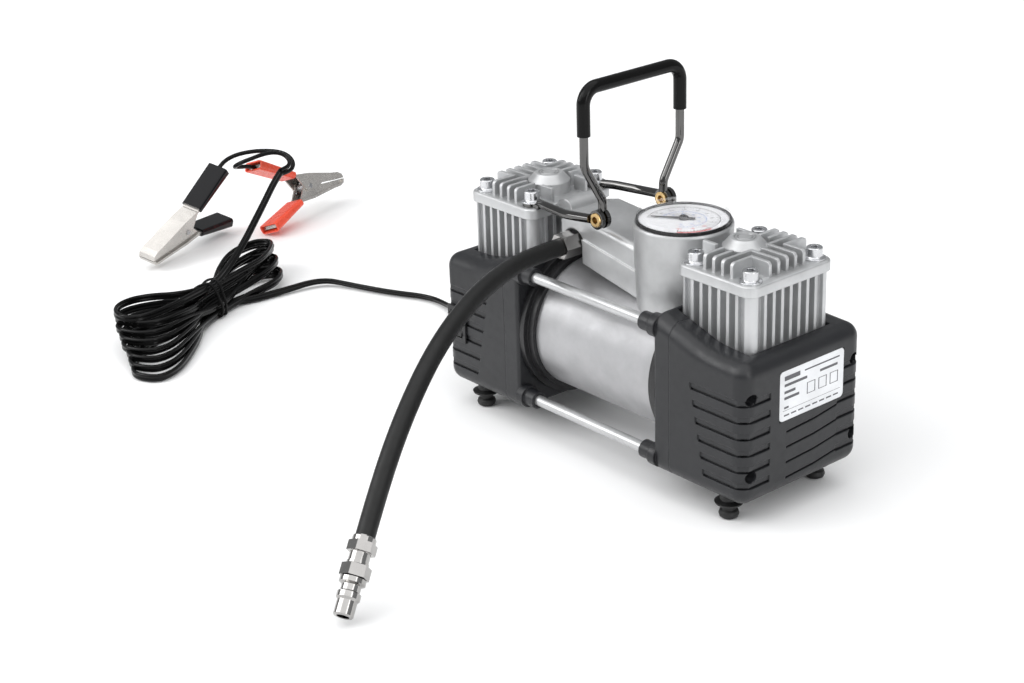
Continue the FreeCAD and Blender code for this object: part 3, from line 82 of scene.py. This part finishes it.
def add_light(name, kind, place, aim, power):
    data = bpy.data.lights.new(name, kind)
    data.energy = power
    light = bpy.data.objects.new(name, data)
    scene.collection.objects.link(light)
    light.location = place
    light.rotation_euler = (Vector(aim) - Vector(place)).to_track_quat("-Z", "Y").to_euler()
    return data


def area_light(name, place, aim, size, power):
    data = add_light(name, "AREA", place, aim, power)
    data.shape = "RECTANGLE"
    data.size, data.size_y = size


def broad_light(name, place, power, spread):
    """An even light from far away, as from a large overhead screen."""
    add_light(name, "SUN", place, (0, 0, 0), power).angle = math.radians(spread)


def make_studio():
    world = bpy.data.worlds.new("studio")
    scene.world = world
    world.use_nodes = True
    background = world.node_tree.nodes["Background"]
    background.inputs["Color"].default_value = (0.96, 0.98, 1, 1)
    background.inputs["Strength"].default_value = 0.34
    bpy.ops.mesh.primitive_plane_add(size=12, location=(0, 0, -0.0002))
    floor = bpy.context.object
    floor.name = "studio_floor"
    floor_look = Look("studio_floor", (0.93, 0.93, 0.93), 0.9)
    floor_look.vary(floor_look.noise(3), 0.995, 1.005)
    floor.data.materials.append(floor_look.material)
    broad_light("overhead", (0.2, -0.35, 1.5), 2.1, 95)
    broad_light("front", (-0.5, -1.2, 0.9), 0.75, 45)
    area_light("left_box", (-0.9, -1.0, 0.75), (0, 0, 0.07), (0.35, 0.9), 4.5)
    area_light("right_box", (1.25, -0.15, 0.55), (0.1, 0, 0.07), (0.35, 0.8), 3.2)
    scene.view_settings.view_transform = "Standard"
    scene.view_settings.exposure = 0.1


# ------------------------------------------------------------------ materials

class Look:
    """Builds one procedural material on a Principled shader."""

    def __init__(self, name, colour, roughness, metallic=0.0):
        self.material = bpy.data.materials.new(name)
        self.material.use_nodes = True
        self.tree = self.material.node_tree
        self.shader = self.tree.nodes["Principled BSDF"]
        self.coordinates = self.tree.nodes.new("ShaderNodeTexCoord").outputs["Object"]
        self.colour = colour
        self.set("Base Color", (*colour, 1))
        self.set("Roughness", roughness)
        self.set("Metallic", metallic)
        self.normal = None

    def set(self, socket, value):
        self.shader.inputs[socket].default_value = value
        return self

    def node(self, kind, **values):
        item = self.tree.nodes.new(kind)
        for name, value in values.items():
            if name in item.inputs:
                item.inputs[name].default_value = value
            else:
                setattr(item, name, value)
        return item

    def link(self, source, target):
        self.tree.links.new(source, target)

    def noise(self, scale, detail=4.0, stretch=(1, 1, 1), rough=0.55):
        mapping = self.node("ShaderNodeMapping")
        mapping.inputs["Scale"].default_value = stretch
        self.link(self.coordinates, mapping.inputs["Vector"])
        noise = self.node("ShaderNodeTexNoise", Scale=scale, Detail=detail, Roughness=rough)
        self.link(mapping.outputs["Vector"], noise.inputs["Vector"])
        return noise.outputs["Fac"]

    def remap(self, source, low, high, start=0.3, end=0.7):
        item = self.node("ShaderNodeMapRange")
        item.inputs["From Min"].default_value = start
        item.inputs["From Max"].default_value = end
        item.inputs["To Min"].default_value = low
        item.inputs["To Max"].default_value = high
        self.link(source, item.inputs["Value"])
        return item.outputs["Result"]

    def vary(self, source, dark, light):
        """Colour variation between two shades of the base colour."""
        mix = self.node("ShaderNodeMix", data_type="RGBA")
        mix.inputs[6].default_value = (*(min(1, c * dark) for c in self.colour), 1)
        mix.inputs[7].default_value = (*(min(1, c * light) for c in self.colour), 1)
        self.link(self.remap(source, 0, 1), mix.inputs[0])
        self.base = mix.outputs[2]
        self.link(self.base, self.shader.inputs["Base Color"])
        return self

    def edge_wear(self, colour, amount=0.5):
        """A slightly lighter or brighter tone on sharp edges."""
        pointiness = self.node("ShaderNodeNewGeometry").outputs["Pointiness"]
        mask = self.remap(pointiness, 0, amount, 0.52, 0.6)
        mix = self.node("ShaderNodeMix", data_type="RGBA")
        self.link(mask, mix.inputs[0])
        self.link(self.base, mix.inputs[6])
        mix.inputs[7].default_value = (*colour, 1)
        self.base = mix.outputs[2]
        self.link(self.base, self.shader.inputs["Base Color"])
        return self

    def rough(self, source, low, high):
        self.link(self.remap(source, low, high), self.shader.inputs["Roughness"])
        return self

    def bump(self, source, strength, distance):
        item = self.node("ShaderNodeBump", Strength=strength, Distance=distance)
        self.link(source, item.inputs["Height"])
        if self.normal is not None:
            self.link(self.normal, item.inputs["Normal"])
        self.normal = item.outputs["Normal"]
        self.link(self.normal, self.shader.inputs["Normal"])
        return self

    def soften(self, radius):
        """Rounds the look of hard edges."""
        item = self.node("ShaderNodeBevel", samples=4)
        item.inputs["Radius"].default_value = radius
        self.normal = item.outputs["Normal"]
        self.link(self.normal, self.shader.inputs["Normal"])
        return self


def plastic(name, colour, roughness, grain=0.0, grain_scale=1800, spread=0.08, shine=0.5,
            soft=0.0006):
    look = Look(name, colour, roughness).set("Specular IOR Level", shine)
    if soft:
        look.soften(soft)
    look.vary(look.noise(35), 0.86, 1.16)
    look.rough(look.noise(220), roughness - spread, roughness + spread)
    if grain:
        look.bump(look.noise(grain_scale, 2), grain, 0.00012)
    return look


def metal(name, colour, roughness, grain=0.1, grain_scale=900, stretch=(1, 1, 1), soft=0.0005,
          spread=0.07, metallic=1.0):
    look = Look(name, colour, roughness, metallic)
    if soft:
        look.soften(soft)
    look.vary(look.noise(60, 5), 0.9, 1.08)
    look.rough(look.noise(260, 5, stretch), roughness - spread, roughness + spread)
    if grain:
        look.bump(look.noise(grain_scale, 3, stretch), grain, 0.0001)
    return look


def make_looks():
    looks = {
        "cap_plastic": plastic("cap_plastic", (0.012, 0.0125, 0.0145), 0.38, 0.22, 2600, shine=0.44,
                               soft=0.001),
        "cast_alloy": metal("cast_alloy", (0.50, 0.505, 0.51), 0.45, 0.30, 1500, soft=0.0007,
                            metallic=0.72),
        "can_paint": metal("can_paint", (0.43, 0.43, 0.44), 0.42, 0.40, 2600, metallic=0.66),
        "manifold_paint": metal("manifold_paint", (0.50, 0.505, 0.51), 0.42, 0.16, 2600,
                                soft=0.0012, metallic=0.75),
        "shield_black": plastic("shield_black", (0.012, 0.012, 0.013), 0.4, 0.15),
        # The chrome's base colour is darkened to 0.13 as a painted reflection: it stands in for the
        # dark studio surroundings that real chrome mirrors.
        "chrome": metal("chrome", (0.13, 0.128, 0.126), 0.08, 0.0, soft=0, spread=0.03),
        "steel": metal("steel", (0.5, 0.5, 0.51), 0.3),
        "screw_zinc": metal("screw_zinc", (0.64, 0.645, 0.66), 0.24, 0.08, 700, soft=0.0004),
        "rod_bar": metal("rod_bar", (0.56, 0.565, 0.57), 0.36, 0.0, soft=0, spread=0.03, metallic=0.8),
        "plug_chrome": metal("plug_chrome", (0.40, 0.39, 0.38), 0.13, 0.0, soft=0, spread=0.04),
        "brass": metal("brass", (0.62, 0.43, 0.20), 0.28, 0.05),
        "copper": metal("copper", (0.72, 0.33, 0.17), 0.34, 0.5, 900, (6, 1, 1)),
        "laminations": metal("laminations", (0.3, 0.31, 0.33), 0.4, 0.6, 1500, (14, 1, 1)),
        "ferrite": plastic("ferrite", (0.06, 0.06, 0.065), 0.6, 0.2),
        "carbon": plastic("carbon", (0.03, 0.03, 0.03), 0.6, 0.3),
        "seal_black": plastic("seal_black", (0.010, 0.010, 0.010), 0.5, 0.1),
        "foot_rubber": plastic("foot_rubber", (0.008, 0.008, 0.008), 0.5, 0.2),
        "hose_rubber": plastic("hose_rubber", (0.008, 0.008, 0.008), 0.46, 0.35, 1600, shine=0.30),
        "nickel": metal("nickel", (0.60, 0.575, 0.545), 0.24, 0.0, soft=0, spread=0.05, metallic=0.75),
        "gauge_black": plastic("gauge_black", (0.008, 0.008, 0.009), 0.25, 0.05),
        "dial_white": plastic("dial_white", (0.78, 0.78, 0.80), 0.5, 0.05),
        "needle": plastic("needle", (0.03, 0.03, 0.03), 0.35, 0.05),
        "label_white": plastic("label_white", (0.74, 0.75, 0.77), 0.42, 0.05),
        "rocker_black": plastic("rocker_black", (0.009, 0.009, 0.010), 0.22, 0.05),
        "lead_vinyl": plastic("lead_vinyl", (0.004, 0.004, 0.004), 0.21, 0.05, 700, spread=0.05,
                              shine=0.17),
        "sleeve_black": plastic("sleeve_black", (0.005, 0.005, 0.006), 0.13, spread=0.04,
                                shine=0.22, soft=0),
        "sleeve_red": plastic("sleeve_red", (0.82, 0.085, 0.04), 0.28, spread=0.05, soft=0),
        "grip_vinyl": plastic("grip_vinyl", (0.005, 0.005, 0.005), 0.15, spread=0.04, shine=0.14),
        "ink_dark": plastic("ink_dark", (0.10, 0.10, 0.11), 0.5, 0.02),
        "ink_red": plastic("ink_red", (0.72, 0.10, 0.10), 0.5, 0.02),
        "ink_blue": plastic("ink_blue", (0.16, 0.28, 0.60), 0.5, 0.02),
    }
    looks["cast_alloy"].edge_wear((0.70, 0.71, 0.72), 0.45)
    lens = Look("lens_clear", (1, 1, 1), 0.03)
    lens.set("Transmission Weight", 1.0).set("IOR", 1.12).set("Alpha", 0.14)
    lens.rough(lens.noise(90), 0.0, 0.02)
    looks["lens_clear"] = lens
    return {name: look.material for name, look in looks.items()}


def paint(obj, material):
    if obj.data.materials:
        for index in range(len(obj.data.materials)):
            obj.material_slots[index].material = material
    else:
        obj.data.materials.append(material)


# Nodes whose look differs from that of their material slot in the record.
OWN_LOOKS = {
    "tie_rods": "rod_bar", "hose_nut": "plug_chrome", "hose_ferrule": "plug_chrome",
    "quick_plug": "plug_chrome",
}


def paint_nodes():
    slots = {entry["node"]: entry["material_slot"] for entry in record["subparts"]}
    for name, obj in nodes.items():
        paint(obj, LOOKS[OWN_LOOKS.get(name, slots[name])])


# ------------------------------------------------------------------ cords

def nurbs(name, points, profile, radius, material, tilts=None):
    """A cord's curve: one open spline with the route's points as its control points."""
    data = bpy.data.curves.new(name, "CURVE")
    data.dimensions = "3D"
    spline = data.splines.new("NURBS")
    spline.points.add(len(points) - 1)
    for point, place in zip(spline.points, points):
        point.co = (*place, 1)
    for point, tilt in zip(spline.points, tilts or []):
        point.tilt = tilt
    spline.order_u = 3
    spline.use_endpoint_u = True
    spline.resolution_u = 8
    if profile is None:
        data.bevel_depth = radius
        data.bevel_resolution = 6
    else:
        data.bevel_mode = "OBJECT"
        data.bevel_object = profile
        data.twist_mode = "Z_UP"
    data.use_fill_caps = True
    obj = bpy.data.objects.new(name, data)
    scene.collection.objects.link(obj)
    data.materials.append(material)
    return obj


def metres(points):
    return [tuple(value / 1000 for value in point) for point in points]


HOSE_ROUTE = metres([
    (-34.0, -30.0, 112.8), (-33.2, -51.0, 113.2), (-27.5, -75.5, 112.6), (-16.5, -107.5, 108.3),
    (-2.0, -143.0, 96.0), (12.0, -174.0, 76.0), (24.0, -199.5, 52.5), (34.5, -218.5, 32.5),
])
POWER_ROUTE = metres([
    (-139.5, 12.0, 45.0), (-151.0, 12.3, 43.6), (-167.0, 15.0, 36.5), (-184.0, 22.0, 22.0),
    (-203.0, 32.5, 8.5), (-224.0, 43.5, 2.8), (-247.0, 45.0, 2.6), (-272.0, 31.5, 2.6),
    (-300.0, 21.5, 2.6), (-322.0, 11.5, 4.0),
])
TAIL_ROUTE = metres([
    (-337.0, -52.0, 24.0), (-352.0, -29.0, 31.5), (-368.0, -8.0, 38.5),
    (-384.0, 12.5, 45.0), (-398.0, 29.5, 50.0), (-408.0, 42.0, 52.0),
])
RED_ROUTE = metres([
    (-407.9, 41.8, 53.5), (-409.4, 48.8, 53.6), (-412.3, 53.4, 55.0), (-417.0, 55.1, 57.5),
    (-421.7, 53.4, 60.0), (-424.6, 47.5, 61.6), (-425.0, 38.0, 61.8), (-424.5, 28.8, 61.0),
    (-427.7, 23.6, 59.1), (-433.0, 21.6, 56.0), (-438.3, 23.6, 52.9), (-441.5, 29.5, 51.0),
    (-442.0, 40.0, 49.2), (-442.9, 51.0, 44.0),
])
BLACK_ROUTE = metres([
    (-408.1, 42.2, 50.5), (-408.6, 50.7, 50.6), (-412.6, 56.8, 52.9), (-419.0, 59.1, 56.0),
    (-425.4, 56.8, 59.1), (-429.6, 49.5, 61.2), (-434.0, 38.5, 62.5), (-440.5, 28.5, 61.0),
    (-445.4, 20.8, 57.2), (-445.5, 13.8, 51.4), (-444.2, 6.5, 46.1),
])

# The hank's frame: where it starts, how far it is turned, and how far along it is tied. Millimetres
# in that frame. The leans say how far each turn's far end is swung to the right, from 0 to 1.
HANK_START = Vector((-0.2883, -0.1590, 0))
HANK_TURN = math.radians(26)
HANK_WAIST = 96
HANK_LEANS = (1.0, 0.7, 0.8, 0.35, 0.5, 0.1, 0.2)
HANK_TURNS = len(HANK_LEANS)
TIE_CLEARANCE = 3.3
TIE_REACH = 12.5
LEAD_TILT = 0.9

# Lengths of the real cords, in metres.
HOSE_LENGTH = 0.226
LEAD_LENGTH = 3.2
RED_LENGTH = 0.0965
BLACK_LENGTH = 0.0908

# The dial's zero and sweep in degrees, as the needle turns, and the turn of its numbers.
DIAL_ZERO = 215
DIAL_SWEEP = 270
DIAL_TURN = math.radians(-10)


def twin_profile():
    """The outline of the flat twin lead: two round cores side by side."""
    data = bpy.data.curves.new("twin_profile", "CURVE")
    data.dimensions = "2D"
    spline = data.splines.new("POLY")
    core, offset, steps = 0.00128, 0.00122, 9
    outline = []
    for side in (1, -1):
        for step in range(steps):
            angle = math.radians(-145 + 290 * step / (steps - 1))
            outline.append((side * (offset + core * math.cos(angle)), side * core * math.sin(angle), 0))
    spline.points.add(len(outline) - 1)
    for point, place in zip(spline.points, outline):
        point.co = (*place, 1)
    spline.use_cyclic_u = True
    profile = bpy.data.objects.new("twin_profile", data)
    scene.collection.objects.link(profile)
    profile.hide_render = True
    profile.hide_viewport = True
    return profile


def in_hank(across, along, height):
    """A point of the hank's own frame, in millimetres, in the part's frame."""
    x = across / 1000
    y = along / 1000
    c, s = math.cos(HANK_TURN), math.sin(HANK_TURN)
    return tuple(HANK_START + Vector((x * c - y * s, x * s + y * c, height / 1000)))


def hank_route():
    """The folded turns in the hank's frame, from where the lead comes in to where its tail leaves.

    The lead stands on edge in the turns, because it bends about its wide axis. At the tie the
    strands are packed in three columns a side. On both sides of it the turns fan out.
    """
    jitter = random.Random(11)
    points = []
    highs = [189 - 29 * lean + jitter.uniform(-1.5, 1.5) for lean in HANK_LEANS]
    sides = [(-10 + 22.5 * lean, 13 + 3 * lean) for lean in HANK_LEANS]
    tie_low, tie_high = HANK_WAIST - 11, HANK_WAIST + 12
    for turn in range(HANK_TURNS):
        fan = turn / (HANK_TURNS - 1)
        level = 2.8 + 2.6 * turn
        packed_across = 1.5 + 3.6 * (turn % 3)
        packed_level = 3.4 + 5.1 * (turn // 3)
        middle = (level + packed_level) / 2
        tip, near, low = 19 - 34 * fan, 16 + 1.5 * fan, -11 + 38 * fan + jitter.uniform(-1.5, 1.5)
        high, (side, far) = highs[turn], sides[turn]
        near_reach = tie_low - low
        far_reach = high - tie_high
        for way in (1, -1):
            half = [
                (side + way * far, high - 0.35 * far_reach, level),
                (side * 0.44 + way * far * 0.74, high - 0.72 * far_reach, middle),
                (way * (packed_across + 1.0), tie_high, packed_level),
                (way * (packed_across + 0.5), tie_low, packed_level),
                (tip * 0.30 + way * near * 0.70, low + 0.72 * near_reach, middle),
                (tip * 0.62 + way * near * 0.97, low + 0.40 * near_reach, level),
                (tip * 0.85 + way * near * 0.98, low + 0.18 * near_reach, level),
                (tip + way * near * 0.64, low + 0.03 * near_reach, level),
            ]
            if way == 1:
                points += half + [(tip, low, level)]
            else:
                points += reversed(half)
        following = min(turn + 1, HANK_TURNS - 1)
        left, right = side - far, sides[following][0] + sides[following][1]
        end, half_width = (high + highs[following]) / 2, (right - left) / 2
        points += [
            (left + 0.38 * half_width, end - 4, level + 0.6),
            (left + half_width, end, level + 1.3),
            (right - 0.38 * half_width, end - 4, level + 2.0),
        ]
    points += [
        (11, 152, 20.5), (8, 132, 20.0), (5, 110, 19.6), (0, 88, 19.8), (-9, 73, 21.0),
        (-21, 64, 22.0), (-30, 53, 22.4), (-32, 40, 22.4), (-26, 29, 22.4), (-15, 25, 22.2),
        (-6, 32, 22.0), (-1, 48, 21.8), (2, 70, 21.6), (5, 96, 21.4),
    ]
    return points


def hank_tilts(count):
    """How far the flat lead leans from lying flat: on edge, unevenly."""
    jitter = random.Random(5)
    return [math.radians(82 + jitter.uniform(-9, 9)) for _ in range(count)]


def wrap(strands, margin, steps=20):
    """The outline of a thin tie pulled tight round strands, given as (across, height)."""
    middle = Vector((sum(x for x, _ in strands), sum(z for _, z in strands))) / len(strands)
    ways = [Vector((math.cos(angle), math.sin(angle)))
            for angle in (2 * math.pi * step / steps for step in range(steps))]
    reach = [max((Vector(strand) - middle).dot(way) for strand in strands) + margin for way in ways]
    outline = []
    for way in ways:
        radius = min(far / way.dot(other) for other, far in zip(ways, reach) if way.dot(other) > 0.2)
        place = middle + way * radius
        outline.append((place.x, max(place.y, 1.1)))
    return outline


def lead_tie(route):
    """The thin tie round the waist of the hank, in two loops."""
    data = bpy.data.curves.new("lead_tie", "CURVE")
    data.dimensions = "3D"
    data.bevel_depth = 0.00085
    data.bevel_resolution = 4
    for along, skew in ((HANK_WAIST - 7.0, 4.0), (HANK_WAIST + 4.0, -3.0)):
        strands = [(x, z) for x, y, z in route if abs(y - along) < TIE_REACH]
        outline = wrap(strands, TIE_CLEARANCE)
        spline = data.splines.new("NURBS")
        spline.points.add(len(outline) - 1)
        for point, (across, height) in zip(spline.points, outline):
            point.co = (*in_hank(across, along + skew * across / 12, height), 1)
        spline.order_u = 3
        spline.use_cyclic_u = True
    tie = bpy.data.objects.new("lead_tie", data)
    scene.collection.objects.link(tie)
    data.materials.append(LOOKS["lead_vinyl"])
    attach(tie, "compressor")


def declare(cord, slot, replaced, **facts):
    """Lets a cord ride on the body and stand for its CAD solids."""
    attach(cord, "compressor")
    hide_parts(*replaced)


def make_cords():
    hose = nurbs("air_hose_tube", HOSE_ROUTE, None, 0.005, LOOKS["hose_rubber"])
    declare(hose, "hose_rubber", ["air_hose"], exit=HOSE_ROUTE[0], length=HOSE_LENGTH, diameter=0.010,
            far_end="fitting", stiffness="stiff", lay="loose",
            with_pieces=[nodes["hose_ferrule"], nodes["quick_plug"]])
    hank = hank_route()
    turns = [in_hank(*place) for place in hank]
    tilts = [LEAD_TILT] * len(POWER_ROUTE) + hank_tilts(len(turns)) + [LEAD_TILT] * len(TAIL_ROUTE)
    lead = nurbs("power_lead_twin", POWER_ROUTE + turns + TAIL_ROUTE, twin_profile(), None,
                 LOOKS["lead_vinyl"], tilts)
    declare(lead, "lead_vinyl", ["power_lead", "lead_hank", "lead_tail"], exit=POWER_ROUTE[0],
            length=LEAD_LENGTH, diameter=0.005, far_end="bare", stiffness="medium", lay="coiled")
    for colour, route, length in (("red", RED_ROUTE, RED_LENGTH), ("black", BLACK_ROUTE, BLACK_LENGTH)):
        core = nurbs(f"lead_{colour}_core", route, None, 0.0015, LOOKS["lead_vinyl"])
        declare(core, "lead_vinyl", [f"lead_{colour}"], exit=route[0], length=length, diameter=0.003,
                far_end="tool", stiffness="limp", lay="loose",
                with_pieces=[nodes[f"clamp_sleeve_{colour}_fixed"]])
    lead_tie(hank)


# ------------------------------------------------------------------ printing on the dial and the plate

def flat_mesh(name, shapes, node_body):
    """One thin printed layer: shapes are (list of corners, ink)."""
    inks = sorted({ink for _, ink in shapes})
    vertices, faces, owners = [], [], []
    for corners, ink in shapes:
        faces.append(range(len(vertices), len(vertices) + len(corners)))
        vertices += corners
        owners.append(inks.index(ink))
    mesh = bpy.data.meshes.new(name)
    mesh.from_pydata(vertices, [], [list(face) for face in faces])
    for ink in inks:
        mesh.materials.append(LOOKS[ink])
    for polygon, owner in zip(mesh.polygons, owners):
        polygon.material_index = owner
    layer = bpy.data.objects.new(name, mesh)
    scene.collection.objects.link(layer)
    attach(layer, node_body)


def on_circle(centre, radius, degrees, height):
    angle = math.radians(degrees)
    return (centre[0] + radius * math.cos(angle), centre[1] + radius * math.sin(angle), height)


def arc_band(centre, inner, outer, start, end, height, ink):
    """A curved stripe, as quads of three degrees."""
    steps = max(1, round(abs(end - start) / 3))
    angles = [start + (end - start) * step / steps for step in range(steps + 1)]
    return [([on_circle(centre, radius, angle, height)
              for radius, angle in ((inner, a), (outer, a), (outer, b), (inner, b))], ink)
            for a, b in zip(angles, angles[1:])]


def digits(text, size, place, turn, ink):
    """The flat faces of a number, centred on a place."""
    data = bpy.data.curves.new("digits", "FONT")
    data.body = text
    data.size = size
    data.align_x = "CENTER"
    data.align_y = "CENTER"
    data.resolution_u = 3
    source = bpy.data.objects.new("digits", data)
    mesh = bpy.data.meshes.new_from_object(source)
    spin = Matrix.Translation(place) @ Matrix.Rotation(turn, 4, "Z")
    corners = [tuple(spin @ vertex.co) for vertex in mesh.vertices]
    shapes = [([corners[index] for index in face.vertices], ink) for face in mesh.polygons]
    bpy.data.meshes.remove(mesh)
    bpy.data.objects.remove(source)
    return shapes


def print_dial():
    """Two scales over the needle's sweep: the outer one to 10, the inner one to 140."""
    low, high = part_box("gauge_dial")
    centre = ((low[0] + high[0]) / 2, (low[1] + high[1]) / 2)
    radius = (high[0] - low[0]) / 2
    height = high[2] + 0.00004

    def along_scale(part):
        return DIAL_ZERO - DIAL_SWEEP * part

    def band(inner, outer, start, end, ink):
        return arc_band(centre, inner * radius, outer * radius, start, end, height, ink)

    def numbers(values, top, reach, size, ink):
        shapes = []
        for value in values:
            place = on_circle(centre, reach * radius, along_scale(value / top), height)
            shapes += digits(str(value), size, place, DIAL_TURN, ink)
        return shapes

    shapes = band(0.80, 0.815, DIAL_ZERO, along_scale(1), "ink_dark")
    shapes += band(0.50, 0.512, DIAL_ZERO, along_scale(1), "ink_blue")
    shapes += band(0.83, 0.88, along_scale(0.8), along_scale(1), "ink_red")
    for mark in range(51):
        angle = along_scale(mark / 50)
        inner, half = (0.72, 0.7) if mark % 5 == 0 else (0.76, 0.4)
        shapes += band(inner, 0.80, angle - half, angle + half, "ink_dark")
    for mark in range(29):
        angle = along_scale(mark / 28)
        shapes += band(0.44 if mark % 4 == 0 else 0.47, 0.50, angle - 0.8, angle + 0.8, "ink_blue")
    shapes += numbers(range(8), 10, 0.63, 0.0034, "ink_dark")
    shapes += numbers(range(8, 11), 10, 0.63, 0.0034, "ink_red")
    shapes += numbers(range(0, 141, 20), 140, 0.355, 0.0019, "ink_blue")
    flat_mesh("dial_print", shapes, "compressor")


def print_plate():
    """Plain bars where a rating plate has its lines of print, and three empty squares."""
    low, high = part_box("rating_plate")
    face = high[0] + 0.00005
    width, height = high[1] - low[1], high[2] - low[2]

    def bar(left, right, base, top, ink="ink_dark"):
        y0, y1 = low[1] + left * width, low[1] + right * width
        z0, z1 = low[2] + base * height, low[2] + top * height
        return ([(face, y0, z0), (face, y1, z0), (face, y1, z1), (face, y0, z1)], ink)

    shapes = [bar(0.07, 0.31, 0.80, 0.89), bar(0.38, 0.93, 0.845, 0.875)]
    for right, base in ((0.42, 0.68), (0.24, 0.54), (0.30, 0.42)):
        shapes.append(bar(0.07, right, base, base + 0.055))
    shapes += [bar(0.62, 0.90, 0.70, 0.75), bar(0.05, 0.95, 0.20, 0.207), bar(0.07, 0.14, 0.24, 0.28)]
    for left in (0.42, 0.60, 0.78):
        right, base, top, line = left + 0.13, 0.36, 0.59, 0.012
        shapes += [bar(left, right, base, base + line), bar(left, right, top - line, top),
                   bar(left, left + line, base, top), bar(right - line, right, base, top)]
    shapes += [bar(0.07 + 0.11 * step, 0.15 + 0.11 * step, 0.09, 0.12) for step in range(8)]
    flat_mesh("plate_print", shapes, "compressor")


make_camera()
make_studio()
LOOKS = make_looks()
paint_nodes()
make_cords()
print_dial()
print_plate()
